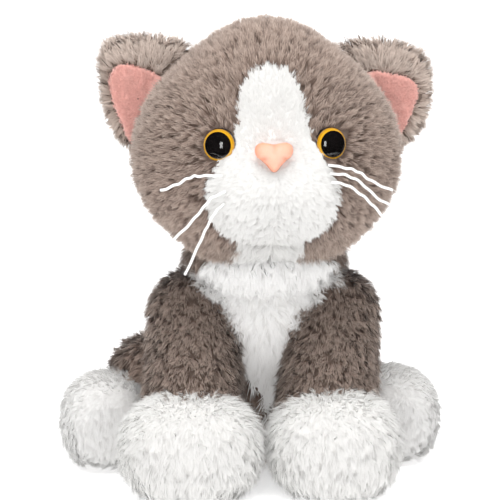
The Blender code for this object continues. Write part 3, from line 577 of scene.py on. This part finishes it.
def cap(radius, height, first, last, steps=18, around=EYE_SEGMENTS, lift=0.0):
    """A band of a dome between two angles from its top, as points and faces; from 0 it has a middle point."""
    angles = np.linspace(first, last, steps)
    turn = np.arange(around) / around * math.tau
    ring = np.stack(
        [
            np.outer(np.sin(angles), np.cos(turn)) * (radius + lift),
            np.outer(np.sin(angles), np.sin(turn)) * (radius + lift),
            np.outer(np.cos(angles), np.ones(around)) * (height + lift),
        ],
        axis=2,
    ).reshape(-1, 3)
    index = np.arange(steps * around).reshape(steps, around)
    beside = np.roll(index, -1, axis=1)
    faces = np.stack([index[:-1], index[1:], beside[1:], beside[:-1]], axis=2).reshape(-1, 4)
    return ring, faces


def placed_mesh(name, points, faces, centre, look):
    """A mesh made round +Z, turned to look along a direction from a place."""
    turn = np.array(Vector(look).to_track_quat("Z", "Y").to_matrix())
    mesh = bpy.data.meshes.new(name)
    mesh.from_pydata((points @ turn.T + centre).tolist(), [], np.asarray(faces).tolist())
    mesh.validate()
    return mesh


pupil_finish = Finish(
    "eye_black", 0.06, Base_Color=(0.006, 0.005, 0.005, 1), Coat_Weight=1.0, Coat_Roughness=0.02
)
iris_finish = Finish("eye_amber", 0.22, Coat_Weight=1.0, Coat_Roughness=0.02)
ring_share = iris_finish.attribute("ring")
grain = iris_finish.noise(1500.0)
amber = iris_finish.mix(ring_share, colour(0.72, 0.36, 0.008), colour(0.30, 0.12, 0.003))
iris_finish.feed("Base Color", iris_finish.mix((grain * 0.45), amber, colour(0.84, 0.48, 0.02)))
rim_finish = Finish("eye_rim", 0.25, Base_Color=(0.012, 0.010, 0.009, 1))
lens_finish = Finish("eye_lens", 0.02)
clear = lens_finish.tree.nodes.new("ShaderNodeBsdfTransparent")
gloss = lens_finish.tree.nodes.new("ShaderNodeBsdfGlossy")
gloss.inputs["Roughness"].default_value = 0.03
both = lens_finish.tree.nodes.new("ShaderNodeMixShader")
both.inputs["Fac"].default_value = 0.05
lens_finish.tree.links.new(clear.outputs[0], both.inputs[1])
lens_finish.tree.links.new(gloss.outputs[0], both.inputs[2])
lens_finish.tree.links.new(both.outputs[0], lens_finish.tree.nodes["Material Output"].inputs["Surface"])

for side, (place, look) in EYES.items():
    look = look / np.linalg.norm(look)
    points, faces = cap(EYE_RADIUS, EYE_DOME, 0.0, PUPIL_EDGE)
    mesh = placed_mesh("pupil", points, faces, place, look)
    pupil = add_piece(f"{side}_eye_pupil", mesh, pupil_finish, "head")
    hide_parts(f"{side}_eye_body")
    points, faces = cap(EYE_RADIUS, EYE_DOME, PUPIL_EDGE - EDGE_LAP, IRIS_EDGE, IRIS_STEPS)
    mesh = placed_mesh("iris", points, faces, place, look)
    rings = np.repeat(np.linspace(0, 1, IRIS_STEPS), EYE_SEGMENTS) ** 1.5
    mesh.attributes.new("ring", "FLOAT", "POINT").data.foreach_set("value", rings.astype(np.float32))
    iris = add_piece(f"{side}_eye_iris_ring", mesh, iris_finish, "head")
    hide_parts(f"{side}_eye_iris")
    points, faces = cap(EYE_RADIUS, EYE_DOME, IRIS_EDGE - EDGE_LAP, RIM_EDGE, 12)
    mesh = placed_mesh("rim", points, faces, place, look)
    add_piece(f"{side}_eye_rim", mesh, rim_finish, "head")
    points, faces = cap(EYE_RADIUS, EYE_DOME, 0.0, LENS_EDGE, 24, lift=LENS_LIFT)
    mesh = placed_mesh("lens", points, faces, place, look)
    lens = add_piece(f"{side}_eye_lens_dome", mesh, lens_finish, "head")
    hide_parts(f"{side}_eye_lens")


# ---------------------------------------------------------------- nose
# A moulded salmon-pink plastic nose, a soft triangle with a lobe at each upper corner, a short groove
# between them and two small nostrils near its lower edges. Its shank is held by a lock washer.
NOSE_LOOK = np.array([0.0, -0.9929, 0.1191])
NOSE_HALF_WIDTH = 0.0096
NOSTRIL_OUT, NOSTRIL_DOWN = 0.0052, 0.0014  # from the nose's middle
NOSE_OUTLINE = [
    (0.0, 0.0058), (0.30, 0.0063), (0.65, 0.0066), (0.92, 0.0052), (1.00, 0.0024), (0.88, -0.0004),
    (0.60, -0.0026),
    (0.38, -0.0048), (0.18, -0.0072), (0.0, -0.0082),
]


def near_nostril(across, up, sign, width, height):
    """1 at one nostril, falling off over a width and a height."""
    return np.exp(-(((across - sign * NOSTRIL_OUT) / width) ** 2) - ((up + NOSTRIL_DOWN) / height) ** 2)


right_half = [(share * NOSE_HALF_WIDTH, up) for share, up in NOSE_OUTLINE]
whole = right_half + [(-x, up) for x, up in reversed(right_half[1:-1])]
looped = smooth_route([*whole[-2:], *whole, *whole[:3]], 6)[12:-12]
edge = looped[: len(whole) * 6]
RINGS = 16
shares = np.linspace(0, 1, RINGS)
nose_points, nose_rings = [], []
for share in shares:
    x, up = edge.T * share
    height = 0.0052 * (1 - share**2.6) ** 0.55
    height = height - 0.0011 * falloff(x, 0, 0.0011) * np.clip(up / 0.006, 0, 1)
    for sign in (-1, 1):
        height = height - 0.0008 * near_nostril(x, up, sign, 0.0013, 0.0011)
    nose_points.append(np.stack([x, up, height], axis=1))
    nose_rings.append(np.full(len(x), share))
for share, depth in ((0.99, -0.0015), (0.90, -0.0040)):
    nose_points.append(np.column_stack([edge * share, np.full(len(edge), depth)]))
    nose_rings.append(np.full(len(edge), 1.0))
nose_points = np.vstack(nose_points)
index = np.arange(len(nose_points)).reshape(-1, len(edge))
beside = np.roll(index, -1, axis=1)
nose_faces = np.stack([index[:-1], index[1:], beside[1:], beside[:-1]], axis=2).reshape(-1, 4)
nose_axes = np.array([[1, 0, 0], np.cross(NOSE_LOOK, [1, 0, 0]) * -1, NOSE_LOOK])
if nose_axes[1][2] < 0:
    nose_axes[1] *= -1
placed = nose_points @ nose_axes + NOSE_PLACE + NOSE_LOOK * 0.0008
nose_mesh = bpy.data.meshes.new("nose")
nose_mesh.from_pydata(placed.tolist(), [], nose_faces.tolist())
# The nose is painted darker at its rim, as painted shade where its edge turns away from the light, and in its
# nostrils and groove, as painted shade in those hollows.
at_nostril = sum(
    near_nostril(nose_points[:, 0], nose_points[:, 1], sign, 0.0014, 0.0010) for sign in (-1, 1)
)
at_groove = falloff(nose_points[:, 0], 0, 0.0009) * np.clip(nose_points[:, 1] / 0.006, 0, 1)
painted_rim_shade = np.concatenate(nose_rings) ** 5
painted_hollow_shade = np.clip(0.45 * at_nostril + 0.3 * at_groove, 0, 1)
for key, values in (("rim", painted_rim_shade), ("dark", painted_hollow_shade)):
    nose_mesh.attributes.new(key, "FLOAT", "POINT").data.foreach_set("value", values.astype(np.float32))
nose_finish = Finish("nose", 0.42, Specular_IOR_Level=0.4, Subsurface_Weight=0.15, Subsurface_Scale=0.002)
satin = nose_finish.noise(700.0)
pink = nose_finish.mix(satin, colour(0.92, 0.44, 0.32), colour(0.95, 0.50, 0.38))
pink_with_rim_shade = nose_finish.mix(nose_finish.attribute("rim"), pink, colour(0.86, 0.33, 0.20))
hollow_shade_share = nose_finish.attribute("dark")
nose_finish.feed("Base Color", nose_finish.mix(hollow_shade_share, pink_with_rim_shade, colour(0.45, 0.14, 0.08)))
nose_finish.bump(satin, 0.08, 0.0002)
nose_mesh.validate()
nose = add_piece("nose_moulding", nose_mesh, nose_finish, "head")
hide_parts("nose")


# ---------------------------------------------------------------- ears
# Two flat ears with rounded tops, sewn from a grey pile back and a smaller lining of short pink velour, and
# sewn to the head's sides. The pile of the back hides the rim of the lining.
EAR_OUTLINES = {
    "left": [
        (-0.034, 0.0400), (-0.024, 0.0455), (-0.012, 0.0475), (0.002, 0.0485), (0.0130, 0.0445),
        (0.0160, 0.032),
        (0.0140, 0.016), (0.0065, 0.000), (-0.012, -0.008),
    ],
    "right": [
        (-0.034, 0.0400), (-0.024, 0.0440), (-0.010, 0.0455), (0.003, 0.0440), (0.0140, 0.0390),
        (0.0185, 0.029),
        (0.0175, 0.015), (0.0105, 0.000), (-0.012, -0.010),
    ],
}
LINING_OUTLINES = {
    "left": [
        (-0.024, 0.0260), (-0.0135, 0.0315), (-0.001, 0.0370), (0.0085, 0.0380), (0.0140, 0.0315),
        (0.0125, 0.020),
        (0.008, 0.008), (0.002, -0.003), (-0.012, -0.004),
    ],
    "right": [
        (-0.020, 0.0260), (-0.012, 0.0335), (0.000, 0.0320), (0.0096, 0.0298), (0.0140, 0.0235),
        (0.0118, 0.015),
        (0.007, 0.004), (0.001, -0.002), (-0.012, -0.002),
    ],
}
EAR_FRONT = -0.0065
EAR_DEPTH = 0.0095
ear_velour = Finish("ear_velour", 0.9, Sheen_Weight=0.5, Specular_IOR_Level=0.2)
velour = ear_velour.noise(420.0, 4.0)
fine = ear_velour.noise(2600.0, 2.0)
along, tone = ear_velour.attribute("along"), ear_velour.attribute("tone")
# Darker towards the velour's roots: painted shade deep in the pile.
low = ear_velour.mix(along, colour(0.80, 0.41, 0.357), colour(0.96, 0.57, 0.50))
ear_velour.feed(
    "Base Color", ear_velour.mix((tone * 0.5 + velour * 0.4).limited(), low, colour(0.91, 0.50, 0.44))
)
ear_velour.bump(fine, 0.5, 0.0005)


def pillow(sign, outline, front, depth, rings=14, dish=0.0):
    """A closed flat cushion in the X-Z plane with the outline of an ear, measured from the head's side."""
    outline = [(sign * (HEAD_RADII[0] + out), HEAD_CENTRE[2] + up) for out, up in outline]
    looped = smooth_route([*outline[-2:], *outline, *outline[:3]], 8)[16:-16]
    edge = looped[: len(outline) * 8]
    middle = edge.mean(axis=0)
    layers = []
    for facing, shares in ((-1, np.linspace(0.02, 1, rings)), (1, np.linspace(1, 0.02, rings)[1:])):
        for share in shares:
            flat = middle + (edge - middle) * share
            swell = math.sqrt(max(0, 1 - share**3))
            y = front + depth / 2 + facing * swell * depth / 2
            if facing < 0:
                y += dish * (1 - share**2)
            layers.append(np.stack([flat[:, 0], np.full(len(flat), y), flat[:, 1]], axis=1))
    points = np.vstack(layers)
    index = np.arange(len(points)).reshape(-1, len(edge))
    beside = np.roll(index, -1, axis=1)
    triangles = np.vstack(
        [np.stack([index[:-1], index[1:], beside[1:]], axis=2).reshape(-1, 3),
         np.stack([index[:-1], beside[1:], beside[:-1]], axis=2).reshape(-1, 3)]
    )
    form = Form(points, triangles)
    if ((form.points - points.mean(axis=0)) * form.normals).sum() < 0:
        form = Form(points, triangles[:, ::-1].copy())
    return form, middle


def in_outline(places, sign, outline, grow=0.0):
    """Whether each place is inside an outline seen from the front, grown all round."""
    closed = [*outline, outline[0]]
    shape = smooth_route([(sign * (HEAD_RADII[0] + out), HEAD_CENTRE[2] + up) for out, up in closed], 4)
    middle = shape.mean(axis=0)
    shape = middle + (shape - middle) * (1 + grow)
    x, z = places[:, 0], places[:, 2]
    inside = np.zeros(len(places), bool)
    for (ax, az), (bx, bz) in zip(shape[:-1], shape[1:]):
        crosses = (az > z) != (bz > z)
        inside ^= crosses & (x < (bx - ax) * (z - az) / np.where(bz == az, 1e-9, bz - az) + ax)
    return inside


def above_head(places, depth):
    """Whether each place is outside the head's ball, or less deep in it than depth."""
    flat = np.abs((places - HEAD_CENTRE) / (HEAD_RADII - depth))
    return (flat**HEAD_POWER).sum(axis=1) > 1


for side, sign in SIDES.items():
    ear, middle = pillow(sign, EAR_OUTLINES[side], EAR_FRONT, EAR_DEPTH, dish=0.002)
    add_cloth(f"{side}_ear_cloth", ear, grey_cloth, "head", "grey_plush", f"{side}_ear_back")
    places, normals = ear.sample(rng, 0.50)
    root = np.array([sign * (HEAD_RADII[0] - 0.012), 0.0, HEAD_CENTRE[2] + 0.012])
    centre = np.array([middle[0], 0.0, middle[1]])
    comb = unit(unit(places - root) + 0.9 * unit(places - centre)) * np.array([1, 0.4, 1])
    at_front = normals[:, 1] < -0.35
    on_lining = in_outline(places, sign, LINING_OUTLINES[side], 0.03) & at_front
    keep = above_head(places, 0.004) & ~on_lining
    outer = np.clip((comb[:, 0] * sign - comb[:, 2]) * 1.2, 0, 1)
    length = np.where(at_front, 0.0064, 0.0100 - 0.0030 * outer)
    lean = np.where(at_front, 62.0, 40.0)
    to_front = (normals[:, 1] < 0.6) & (places[:, 1] < EAR_FRONT + 0.8 * EAR_DEPTH)
    for part, pile, here, lift in (
        ("front", painted_light_ear_pile, keep & to_front, (0.0, -1.1, 0.3)),
        ("back", grey_pile, keep & ~to_front, (0.0, 0.0, 0.0)),
    ):
        add_pile(f"{side}_ear_{part}_pile", pile, "head", "grey_plush", rng, places[here], normals[here],
                 comb[here], length[here], lean[here], lift=lift)

    lining, _ = pillow(sign, LINING_OUTLINES[side], EAR_FRONT - 0.0012, 0.0036, dish=0.0012)
    add_cloth(f"{side}_ear_velour_cloth", lining, ear_velour, "head", "ear_lining", f"{side}_ear_lining")
    places, normals = lining.sample(rng, 1.6)
    keep = (normals[:, 1] < 0) & above_head(places, 0.002)
    comb = unit(places - root) * np.array([1, 0.3, 1])
    add_pile(f"{side}_ear_velour", ear_velour, "head", "ear_lining", rng, places[keep], normals[keep],
             comb[keep], 0.0015, 35.0, 0.00030, 0.0005, 0.1, 40.0, 5)


# ---------------------------------------------------------------- neck
# A short ring of pile round a ball of stuffing, white under the chin and grey behind. It is sewn between the
# head and the body, and the head mostly hides it.
NECK_RING = np.array([0.0, -0.003, 0.1065])
neck_form = stuffed(NECK_RING, np.array([0.0410, 0.029, 0.0175]), 2.1, 72, 40)


def under_chin(places):
    """Whether each place is on the white front of the neck."""
    edge = np.interp(places[:, 2], [0.100, 0.106, 0.112, 0.120], [0.040, 0.036, 0.030, 0.018])
    return (places[:, 1] < -0.004) & (np.abs(places[:, 0]) < edge)


for name, chosen, cloth, pile, slot_name in (
    ("neck_front", under_chin, painted_light_white_cloth, painted_light_white_pile, "white_plush"),
    ("neck_back", lambda p: ~under_chin(p), grey_cloth, grey_pile, "grey_plush"),
):
    panel = neck_form.parted(chosen)
    add_cloth(f"{name}_cloth", panel, cloth, "neck", "stuffing", "neck_stuffing")
    places, normals = panel.sample(rng, 0.42)
    at_rim = normals[:, 2] < 0.9
    places, normals = places[at_rim], normals[at_rim]
    comb = np.tile(np.array([0.0, -0.3, -1.0]), (len(places), 1)) + normals * 0.4
    at_front = name == "neck_front"
    length, lean = (0.0095, 44.0) if at_front else (0.0080, 58.0)
    add_pile(f"{name}_pile", pile, "neck", slot_name, rng, places, normals, comb, length, lean,
             lift=(0.0, -0.7, -0.5) if at_front else (0.0, 0.0, 0.0))


# ---------------------------------------------------------------- body
# A pear of stuffing and a bag of pellets in two grey pile panels, with a white bib let into the front, and a
# round base panel of the same cloth. It leans a little forward and sits flat.
BODY_RADII = np.array([0.051, 0.048, 0.062])
BODY_CENTRE = np.array([0.0, 0.014, 0.047])
BODY_POWER = 2.9
HIDDEN_IN_BODY = 0.16  # how deep in the body a limb's pile is left off
BODY_LEAN = 0.12
BODY_TOP = 0.109
BIB_EDGE = np.array(
    [(0.046, 0.030), (0.044, -0.006), (0.034, -0.022), (0.021, -0.042), (0.011, -0.058), (0.002, -0.070),
     (0.0, -0.097)]
)


def sit_body(points):
    x, y, z = points.T
    return np.stack([x, y - BODY_LEAN * (z - BODY_CENTRE[2]), np.maximum(z, 0.0026)], axis=1)


def in_bib(places):
    """Whether each place is on the white bib in the front of the body."""
    edge = np.interp(BODY_TOP - places[:, 2], -BIB_EDGE[:, 1], BIB_EDGE[:, 0])
    return (np.abs(places[:, 0]) < edge) & (places[:, 1] < 0.004) & (places[:, 2] > 0.012)


LEGS = {
    "left": (np.array([-0.038, -0.012, 0.081]), np.array([-0.041, -0.059, 0.034])),
    "right": (np.array([0.036, -0.012, 0.081]), np.array([0.027, -0.059, 0.034])),
}
LEG_RADII = (0.024, 0.026)
HIPS = {
    "left": (np.array([-0.046, 0.024, 0.040]), np.array([-0.059, 0.009, 0.043])),
    "right": (np.array([0.036, 0.024, 0.035]), np.array([0.046, 0.011, 0.032])),
}
HIP_RADIUS, KNEE_RADIUS = 0.024, 0.0225


def depth_in_limb(places, start, end, first, last):
    """How deep each place is inside a round-ended limb between two points; below 0 outside it."""
    way = end - start
    share = np.clip((places - start) @ way / (way @ way), 0, 1)
    nearest = start + share[:, None] * way
    return first + (last - first) * share - np.linalg.norm(places - nearest, axis=1)


body_form = stuffed(BODY_CENTRE, BODY_RADII, BODY_POWER, 120, 90, sit_body)
body_cloth = body_form.inset(SKIN_INSET)
BODY_PANELS = {
    "chest_bib": (lambda p: in_bib(p), painted_light_white_pile, painted_light_white_cloth, "white_plush", "chest_bib"),
    "body_left": (
        lambda p: ~in_bib(p) & (p[:, 0] < 0), grey_pile, grey_cloth, "grey_plush", "body_left_panel"
    ),
    "body_right": (
        lambda p: ~in_bib(p) & (p[:, 0] >= 0), grey_pile, grey_cloth, "grey_plush", "body_right_panel"
    ),
}
for name, (keep, pile, cloth, slot_name, node) in BODY_PANELS.items():
    panel = body_cloth.parted(keep)
    add_cloth(f"{name}_cloth", panel, cloth, "torso", slot_name, node)
    places, normals = panel.sample(rng, 0.20)
    hidden = places[:, 2] < 0.004
    for side in SIDES:
        hidden |= depth_in_limb(places, *LEGS[side], *LEG_RADII) > 0.007
        hidden |= depth_in_limb(places, *HIPS[side], HIP_RADIUS, KNEE_RADIUS) > 0.007
    keep_these = ~hidden
    places, normals = places[keep_these], normals[keep_these]
    comb = np.tile(np.array([0.0, 0.0, -1.0]), (len(places), 1)) + normals * 0.2
    comb[:, 0] += np.sign(places[:, 0]) * 0.25
    length = 0.0100 if name == "chest_bib" else 0.0090
    add_pile(f"{name}_pile", pile, "torso", slot_name, rng, places, normals, comb, length, 48.0)

BASE_RADII = np.array([0.032, 0.032, 0.0012])
BASE_CENTRE = np.array([0, 0.0196, 0.0013])
base_round, base_triangles = sphere_grid(48, 8)
base_form = Form(base_round * BASE_RADII + BASE_CENTRE, base_triangles)
add_cloth("base_cloth", base_form, grey_cloth, "torso", "grey_plush", "base_panel")


# ---------------------------------------------------------------- front legs
# Each is a stuffed grey sleeve sewn to the body at the shoulder, with a big white paw sewn to its end. The
# paw's sole is a round of white cloth.
PAWS = {
    "left": (np.array([-0.043, -0.076, 0.025]), np.array([0.036, 0.034, 0.028])),
    "right": (np.array([0.0295, -0.076, 0.025]), np.array([0.0335, 0.034, 0.028])),
}
PAW_POWER = 2.3
CUFF_HEIGHT = 0.046
CLOTH_FLOOR = 0.0026  # lowest point of a paw's cloth over the ground


def limb(start, end, first, last, segments=56, rings=40):
    """A tapered limb with round ends."""
    points, triangles = sphere_grid(segments, rings)
    turn = np.array(Vector(start - end).to_track_quat("Z", "X").to_matrix())
    at_start = points[:, 2] > -0.01
    middles = np.where(at_start[:, None], start, end)
    radii = np.where(at_start, first, last)[:, None]
    return Form(middles + points @ turn.T * radii, triangles)


def depth_in_ball(places, centre, radii, power):
    """Above 0 inside a stuffed ball, as a share of its size."""
    flat = np.abs((places - centre) / radii)
    return 1 - (flat**power).sum(axis=1) ** (1 / power)


def flat_below(floor):
    return lambda points: np.stack([points[:, 0], points[:, 1], np.maximum(points[:, 2], floor)], axis=1)


for side, sign in SIDES.items():
    body_name = f"front_{side}_leg"
    shoulder, wrist = LEGS[side]
    paw_centre, paw_radii = PAWS[side]
    sleeve = limb(shoulder, wrist, LEG_RADII[0] - SKIN_INSET, LEG_RADII[1] - SKIN_INSET)
    add_cloth(f"front_{side}_sleeve_cloth", sleeve, grey_cloth, body_name, "grey_plush",
              f"front_{side}_sleeve")
    places, normals = sleeve.sample(rng, 0.32)
    keep = depth_in_ball(places, paw_centre, paw_radii, PAW_POWER) < 0.10
    keep &= places[:, 2] > CUFF_HEIGHT - 0.012
    keep &= depth_in_ball(places, BODY_CENTRE, BODY_RADII, BODY_POWER) < HIDDEN_IN_BODY
    places, normals = places[keep], normals[keep]
    down = unit(wrist - shoulder)
    comb = np.tile(down + np.array([0, 0, -0.35]), (len(places), 1)) + normals * 0.15
    edge = np.interp(places[:, 2], [0.078, 0.084, 0.090, 0.098, 0.106], [0.000, 0.014, 0.026, 0.036, 0.042])
    under_bib = (np.abs(places[:, 0]) < edge) & (places[:, 1] < 0.0)
    rest = ~under_bib
    add_pile(f"front_{side}_sleeve_pile", grey_pile, body_name, "grey_plush", rng, places[rest],
             normals[rest], comb[rest], 0.0080, 46.0, 0.00036, 0.0012)
    comb[:, 0] += sign * 0.5
    add_pile(f"front_{side}_shoulder_pile", painted_light_white_pile, body_name, "white_plush", rng, places[under_bib],
             normals[under_bib], comb[under_bib], 0.0100, 46.0)

    paw = stuffed(paw_centre, paw_radii - SKIN_INSET, PAW_POWER, 72, 48, flat_below(CLOTH_FLOOR))
    add_cloth(f"front_{side}_painted_shade_paw_cloth", paw, painted_shade_paw_cloth, body_name, "white_plush", f"front_{side}_paw",
              f"front_{side}_sole")
    places, normals = paw.sample(rng, 0.30)
    keep = (depth_in_limb(places, shoulder, wrist, *LEG_RADII) < 0.0045) & (places[:, 2] > 0.0035)
    places, normals = places[keep], normals[keep]
    comb = unit(places - (wrist + np.array([0, 0.004, 0.016]))) + np.array([0, 0, -0.25])
    add_pile(f"front_{side}_painted_shade_paw_pile", painted_shade_paw_pile, body_name, "white_plush", rng, places, normals, comb,
             0.0084, 48.0, 0.00034, 0.0012, lift=(0.0, -0.6, -0.3))


# ---------------------------------------------------------------- hind legs
# Each is a short grey thigh at the hip and a round white foot that stands on its edge, so that its flat
# round sole looks forward beside the front paws.
FEET = {
    "left": (np.array([-0.084, -0.009, 0.0235]), -0.037),
    "right": (np.array([0.069, -0.007, 0.0235]), -0.035),
}
FOOT_RADII = np.array([0.025, 0.032, 0.0265])
SOLE_RADIUS = 0.0165

for side, sign in SIDES.items():
    body_name = f"hind_{side}_leg"
    hip, knee = HIPS[side]
    foot_centre, foot_front = FEET[side]
    thigh = limb(hip, knee, HIP_RADIUS - SKIN_INSET, KNEE_RADIUS - SKIN_INSET)
    add_cloth(f"hind_{side}_thigh_cloth", thigh, grey_cloth, body_name, "grey_plush", f"hind_{side}_thigh")
    places, normals = thigh.sample(rng, 0.21)
    keep = (depth_in_ball(places, foot_centre, FOOT_RADII, PAW_POWER) < 0.12) & (places[:, 2] > 0.004)
    keep &= depth_in_ball(places, BODY_CENTRE, BODY_RADII, BODY_POWER) < HIDDEN_IN_BODY
    places, normals = places[keep], normals[keep]
    comb = unit(places - hip) * 0.6 + unit(foot_centre - hip) * 0.7
    add_pile(f"hind_{side}_thigh_pile", grey_pile, body_name, "grey_plush", rng, places, normals, comb,
             0.0095, 42.0)

    def press(points, front=foot_front):
        ahead = np.maximum(points[:, 1], front + SKIN_INSET)
        return np.stack([points[:, 0], ahead, np.maximum(points[:, 2], CLOTH_FLOOR)], axis=1)

    foot = stuffed(foot_centre, FOOT_RADII - SKIN_INSET, PAW_POWER, 72, 48, press)
    add_cloth(f"hind_{side}_painted_shade_foot_cloth", foot, painted_shade_foot_cloth, body_name, "white_plush", f"hind_{side}_foot",
              f"hind_{side}_sole")
    places, normals = foot.sample(rng, 0.32)
    keep = (depth_in_limb(places, hip, knee, HIP_RADIUS, KNEE_RADIUS) < 0.0045) & (places[:, 2] > 0.0035)
    places, normals = places[keep], normals[keep]
    sole_middle = np.array([foot_centre[0], foot_front, foot_centre[2]])
    out = places - sole_middle
    distance = np.hypot(out[:, 0], out[:, 2])
    on_sole = (distance < SOLE_RADIUS) & (normals[:, 1] < -0.8)
    at_seam = falloff(distance, SOLE_RADIUS, 0.0016) * (normals[:, 1] < -0.6)
    comb = unit(places - knee) + np.array([0, -0.1, -0.2])
    comb[on_sole] = out[on_sole] * 12 + np.array([0, 0, -1.0])
    length = 0.0066 * (1 - 0.45 * at_seam) * np.where(on_sole, 0.8, 1)
    add_pile(f"hind_{side}_painted_shade_foot_pile", painted_shade_foot_pile, body_name, "white_plush", rng, places, normals, comb,
             length, 52.0, 0.00032, 0.0011)


# ---------------------------------------------------------------- tail
# A stuffed tube of grey pile, sewn to the low back and lying in a curve on the floor behind the cat.
TAIL_ROUTE = [
    (0.000, 0.062, 0.0200), (0.002, 0.078, 0.0170), (0.010, 0.092, 0.0145), (0.026, 0.098, 0.0140),
    (0.042, 0.095, 0.0140), (0.055, 0.086, 0.0140),
]
TAIL_RADIUS = 0.0125
TAIL_SEGMENTS = 28
route = smooth_route(TAIL_ROUTE, 8)
forward = unit(np.gradient(route, axis=0))
shares = np.linspace(0, 1, len(route))
at_tip = np.minimum(1, np.sqrt(np.maximum(0, 1.02 - shares) / 0.16))
at_root = np.minimum(1, 0.7 + 6 * shares)
radii = (TAIL_RADIUS - SKIN_INSET) * at_tip * at_root
side_way = unit(np.cross(forward, [0, 0, 1]))
up_way = np.cross(side_way, forward)
turn = np.arange(TAIL_SEGMENTS) / TAIL_SEGMENTS * math.tau
sideways = side_way[:, None] * np.cos(turn)[None, :, None]
upward = up_way[:, None] * np.sin(turn)[None, :, None]
rings = route[:, None] + (sideways + upward) * radii[:, None, None]
points = np.vstack([route[:1], rings.reshape(-1, 3), route[-1:] + forward[-1] * 0.001])
index = np.arange(len(route) * TAIL_SEGMENTS).reshape(len(route), TAIL_SEGMENTS) + 1
beside = np.roll(index, -1, axis=1)
last = len(points) - 1
triangles = np.vstack(
    [np.stack([index[:-1], index[1:], beside[1:]], axis=2).reshape(-1, 3),
     np.stack([index[:-1], beside[1:], beside[:-1]], axis=2).reshape(-1, 3),
     np.stack([np.zeros(TAIL_SEGMENTS, int), index[0], beside[0]], axis=1),
     np.stack([np.full(TAIL_SEGMENTS, last), beside[-1], index[-1]], axis=1)]
)
tail_form = Form(points, triangles)
if ((tail_form.points - route[len(route) // 2]) * tail_form.normals).sum() < 0:
    tail_form = Form(points, triangles[:, ::-1].copy())
add_cloth("tail_cloth", tail_form, grey_cloth, "tail", "grey_plush", "tail_skin")
places, normals = tail_form.sample(rng, 0.24)
nearest = np.array([np.argmin(((route - place) ** 2).sum(axis=1)) for place in places])
keep = (places[:, 2] > 0.003) & (places[:, 1] > 0.058)
add_pile("tail_pile", grey_pile, "tail", "grey_plush", rng, places[keep], normals[keep],
         forward[nearest][keep] + normals[keep] * 0.1, 0.0095, 40.0)


# ---------------------------------------------------------------- studio
# A white floor that runs up into a white backdrop, one big softbox above the front, a weaker one on each
# side, and a narrow one in front that glints in the eyes.
def glow_finish(name, base, glow):
    finish = Finish(name, 0.9, Specular_IOR_Level=0.0)
    finish.shader.inputs["Base Color"].default_value = (base, base, base, 1)
    finish.shader.inputs["Emission Color"].default_value = (1, 1, 1, 1)
    finish.shader.inputs["Emission Strength"].default_value = glow
    return finish


for name, corners, finish in (
    ("floor", [(-4, -4, 0), (4, -4, 0), (4, 2.5, 0), (-4, 2.5, 0)], glow_finish("floor", 0.88, 0.42)),
    (
        "backdrop",
        [(-4, 2.5, -0.1), (4, 2.5, -0.1), (4, 2.5, 5), (-4, 2.5, 5)],
        glow_finish("backdrop", 0.5, 1.1),
    ),
):
    mesh = bpy.data.meshes.new(name)
    mesh.from_pydata(corners, [], [(0, 1, 2, 3)])
    mesh.materials.append(finish.material)
    sheet = bpy.data.objects.new(name, mesh)
    sheet.visible_glossy = False
    bpy.context.scene.collection.objects.link(sheet)

world = bpy.data.worlds.new("studio")
bpy.context.scene.world = world
world.use_nodes = True
world.node_tree.nodes["Background"].inputs["Color"].default_value = (1, 1, 1, 1)
world.node_tree.nodes["Background"].inputs["Strength"].default_value = 0.61
world.cycles_visibility.glossy = False


def softbox(name, place, size, power):
    light = bpy.data.lights.new(name, "AREA")
    light.shape = "RECTANGLE"
    light.size, light.size_y = size
    light.energy = power
    box = bpy.data.objects.new(name, light)
    box.location = place
    box.rotation_euler = (Vector(place) - Vector((0, 0, 0.12))).to_track_quat("Z", "Y").to_euler()
    box.visible_glossy = False
    bpy.context.scene.collection.objects.link(box)
    return box


softbox("top", (0.0, -0.35, 1.35), (1.0, 0.7), 14.5)
softbox("left", (-1.2, -1.0, 0.55), (0.5, 0.8), 2.6)
softbox("right", (1.2, -1.0, 0.55), (0.5, 0.8), 2.1)
softbox("front", (-0.30, -1.7, 0.36), (0.40, 0.90), 4.6).visible_glossy = True

bpy.context.scene.view_settings.view_transform = "Standard"
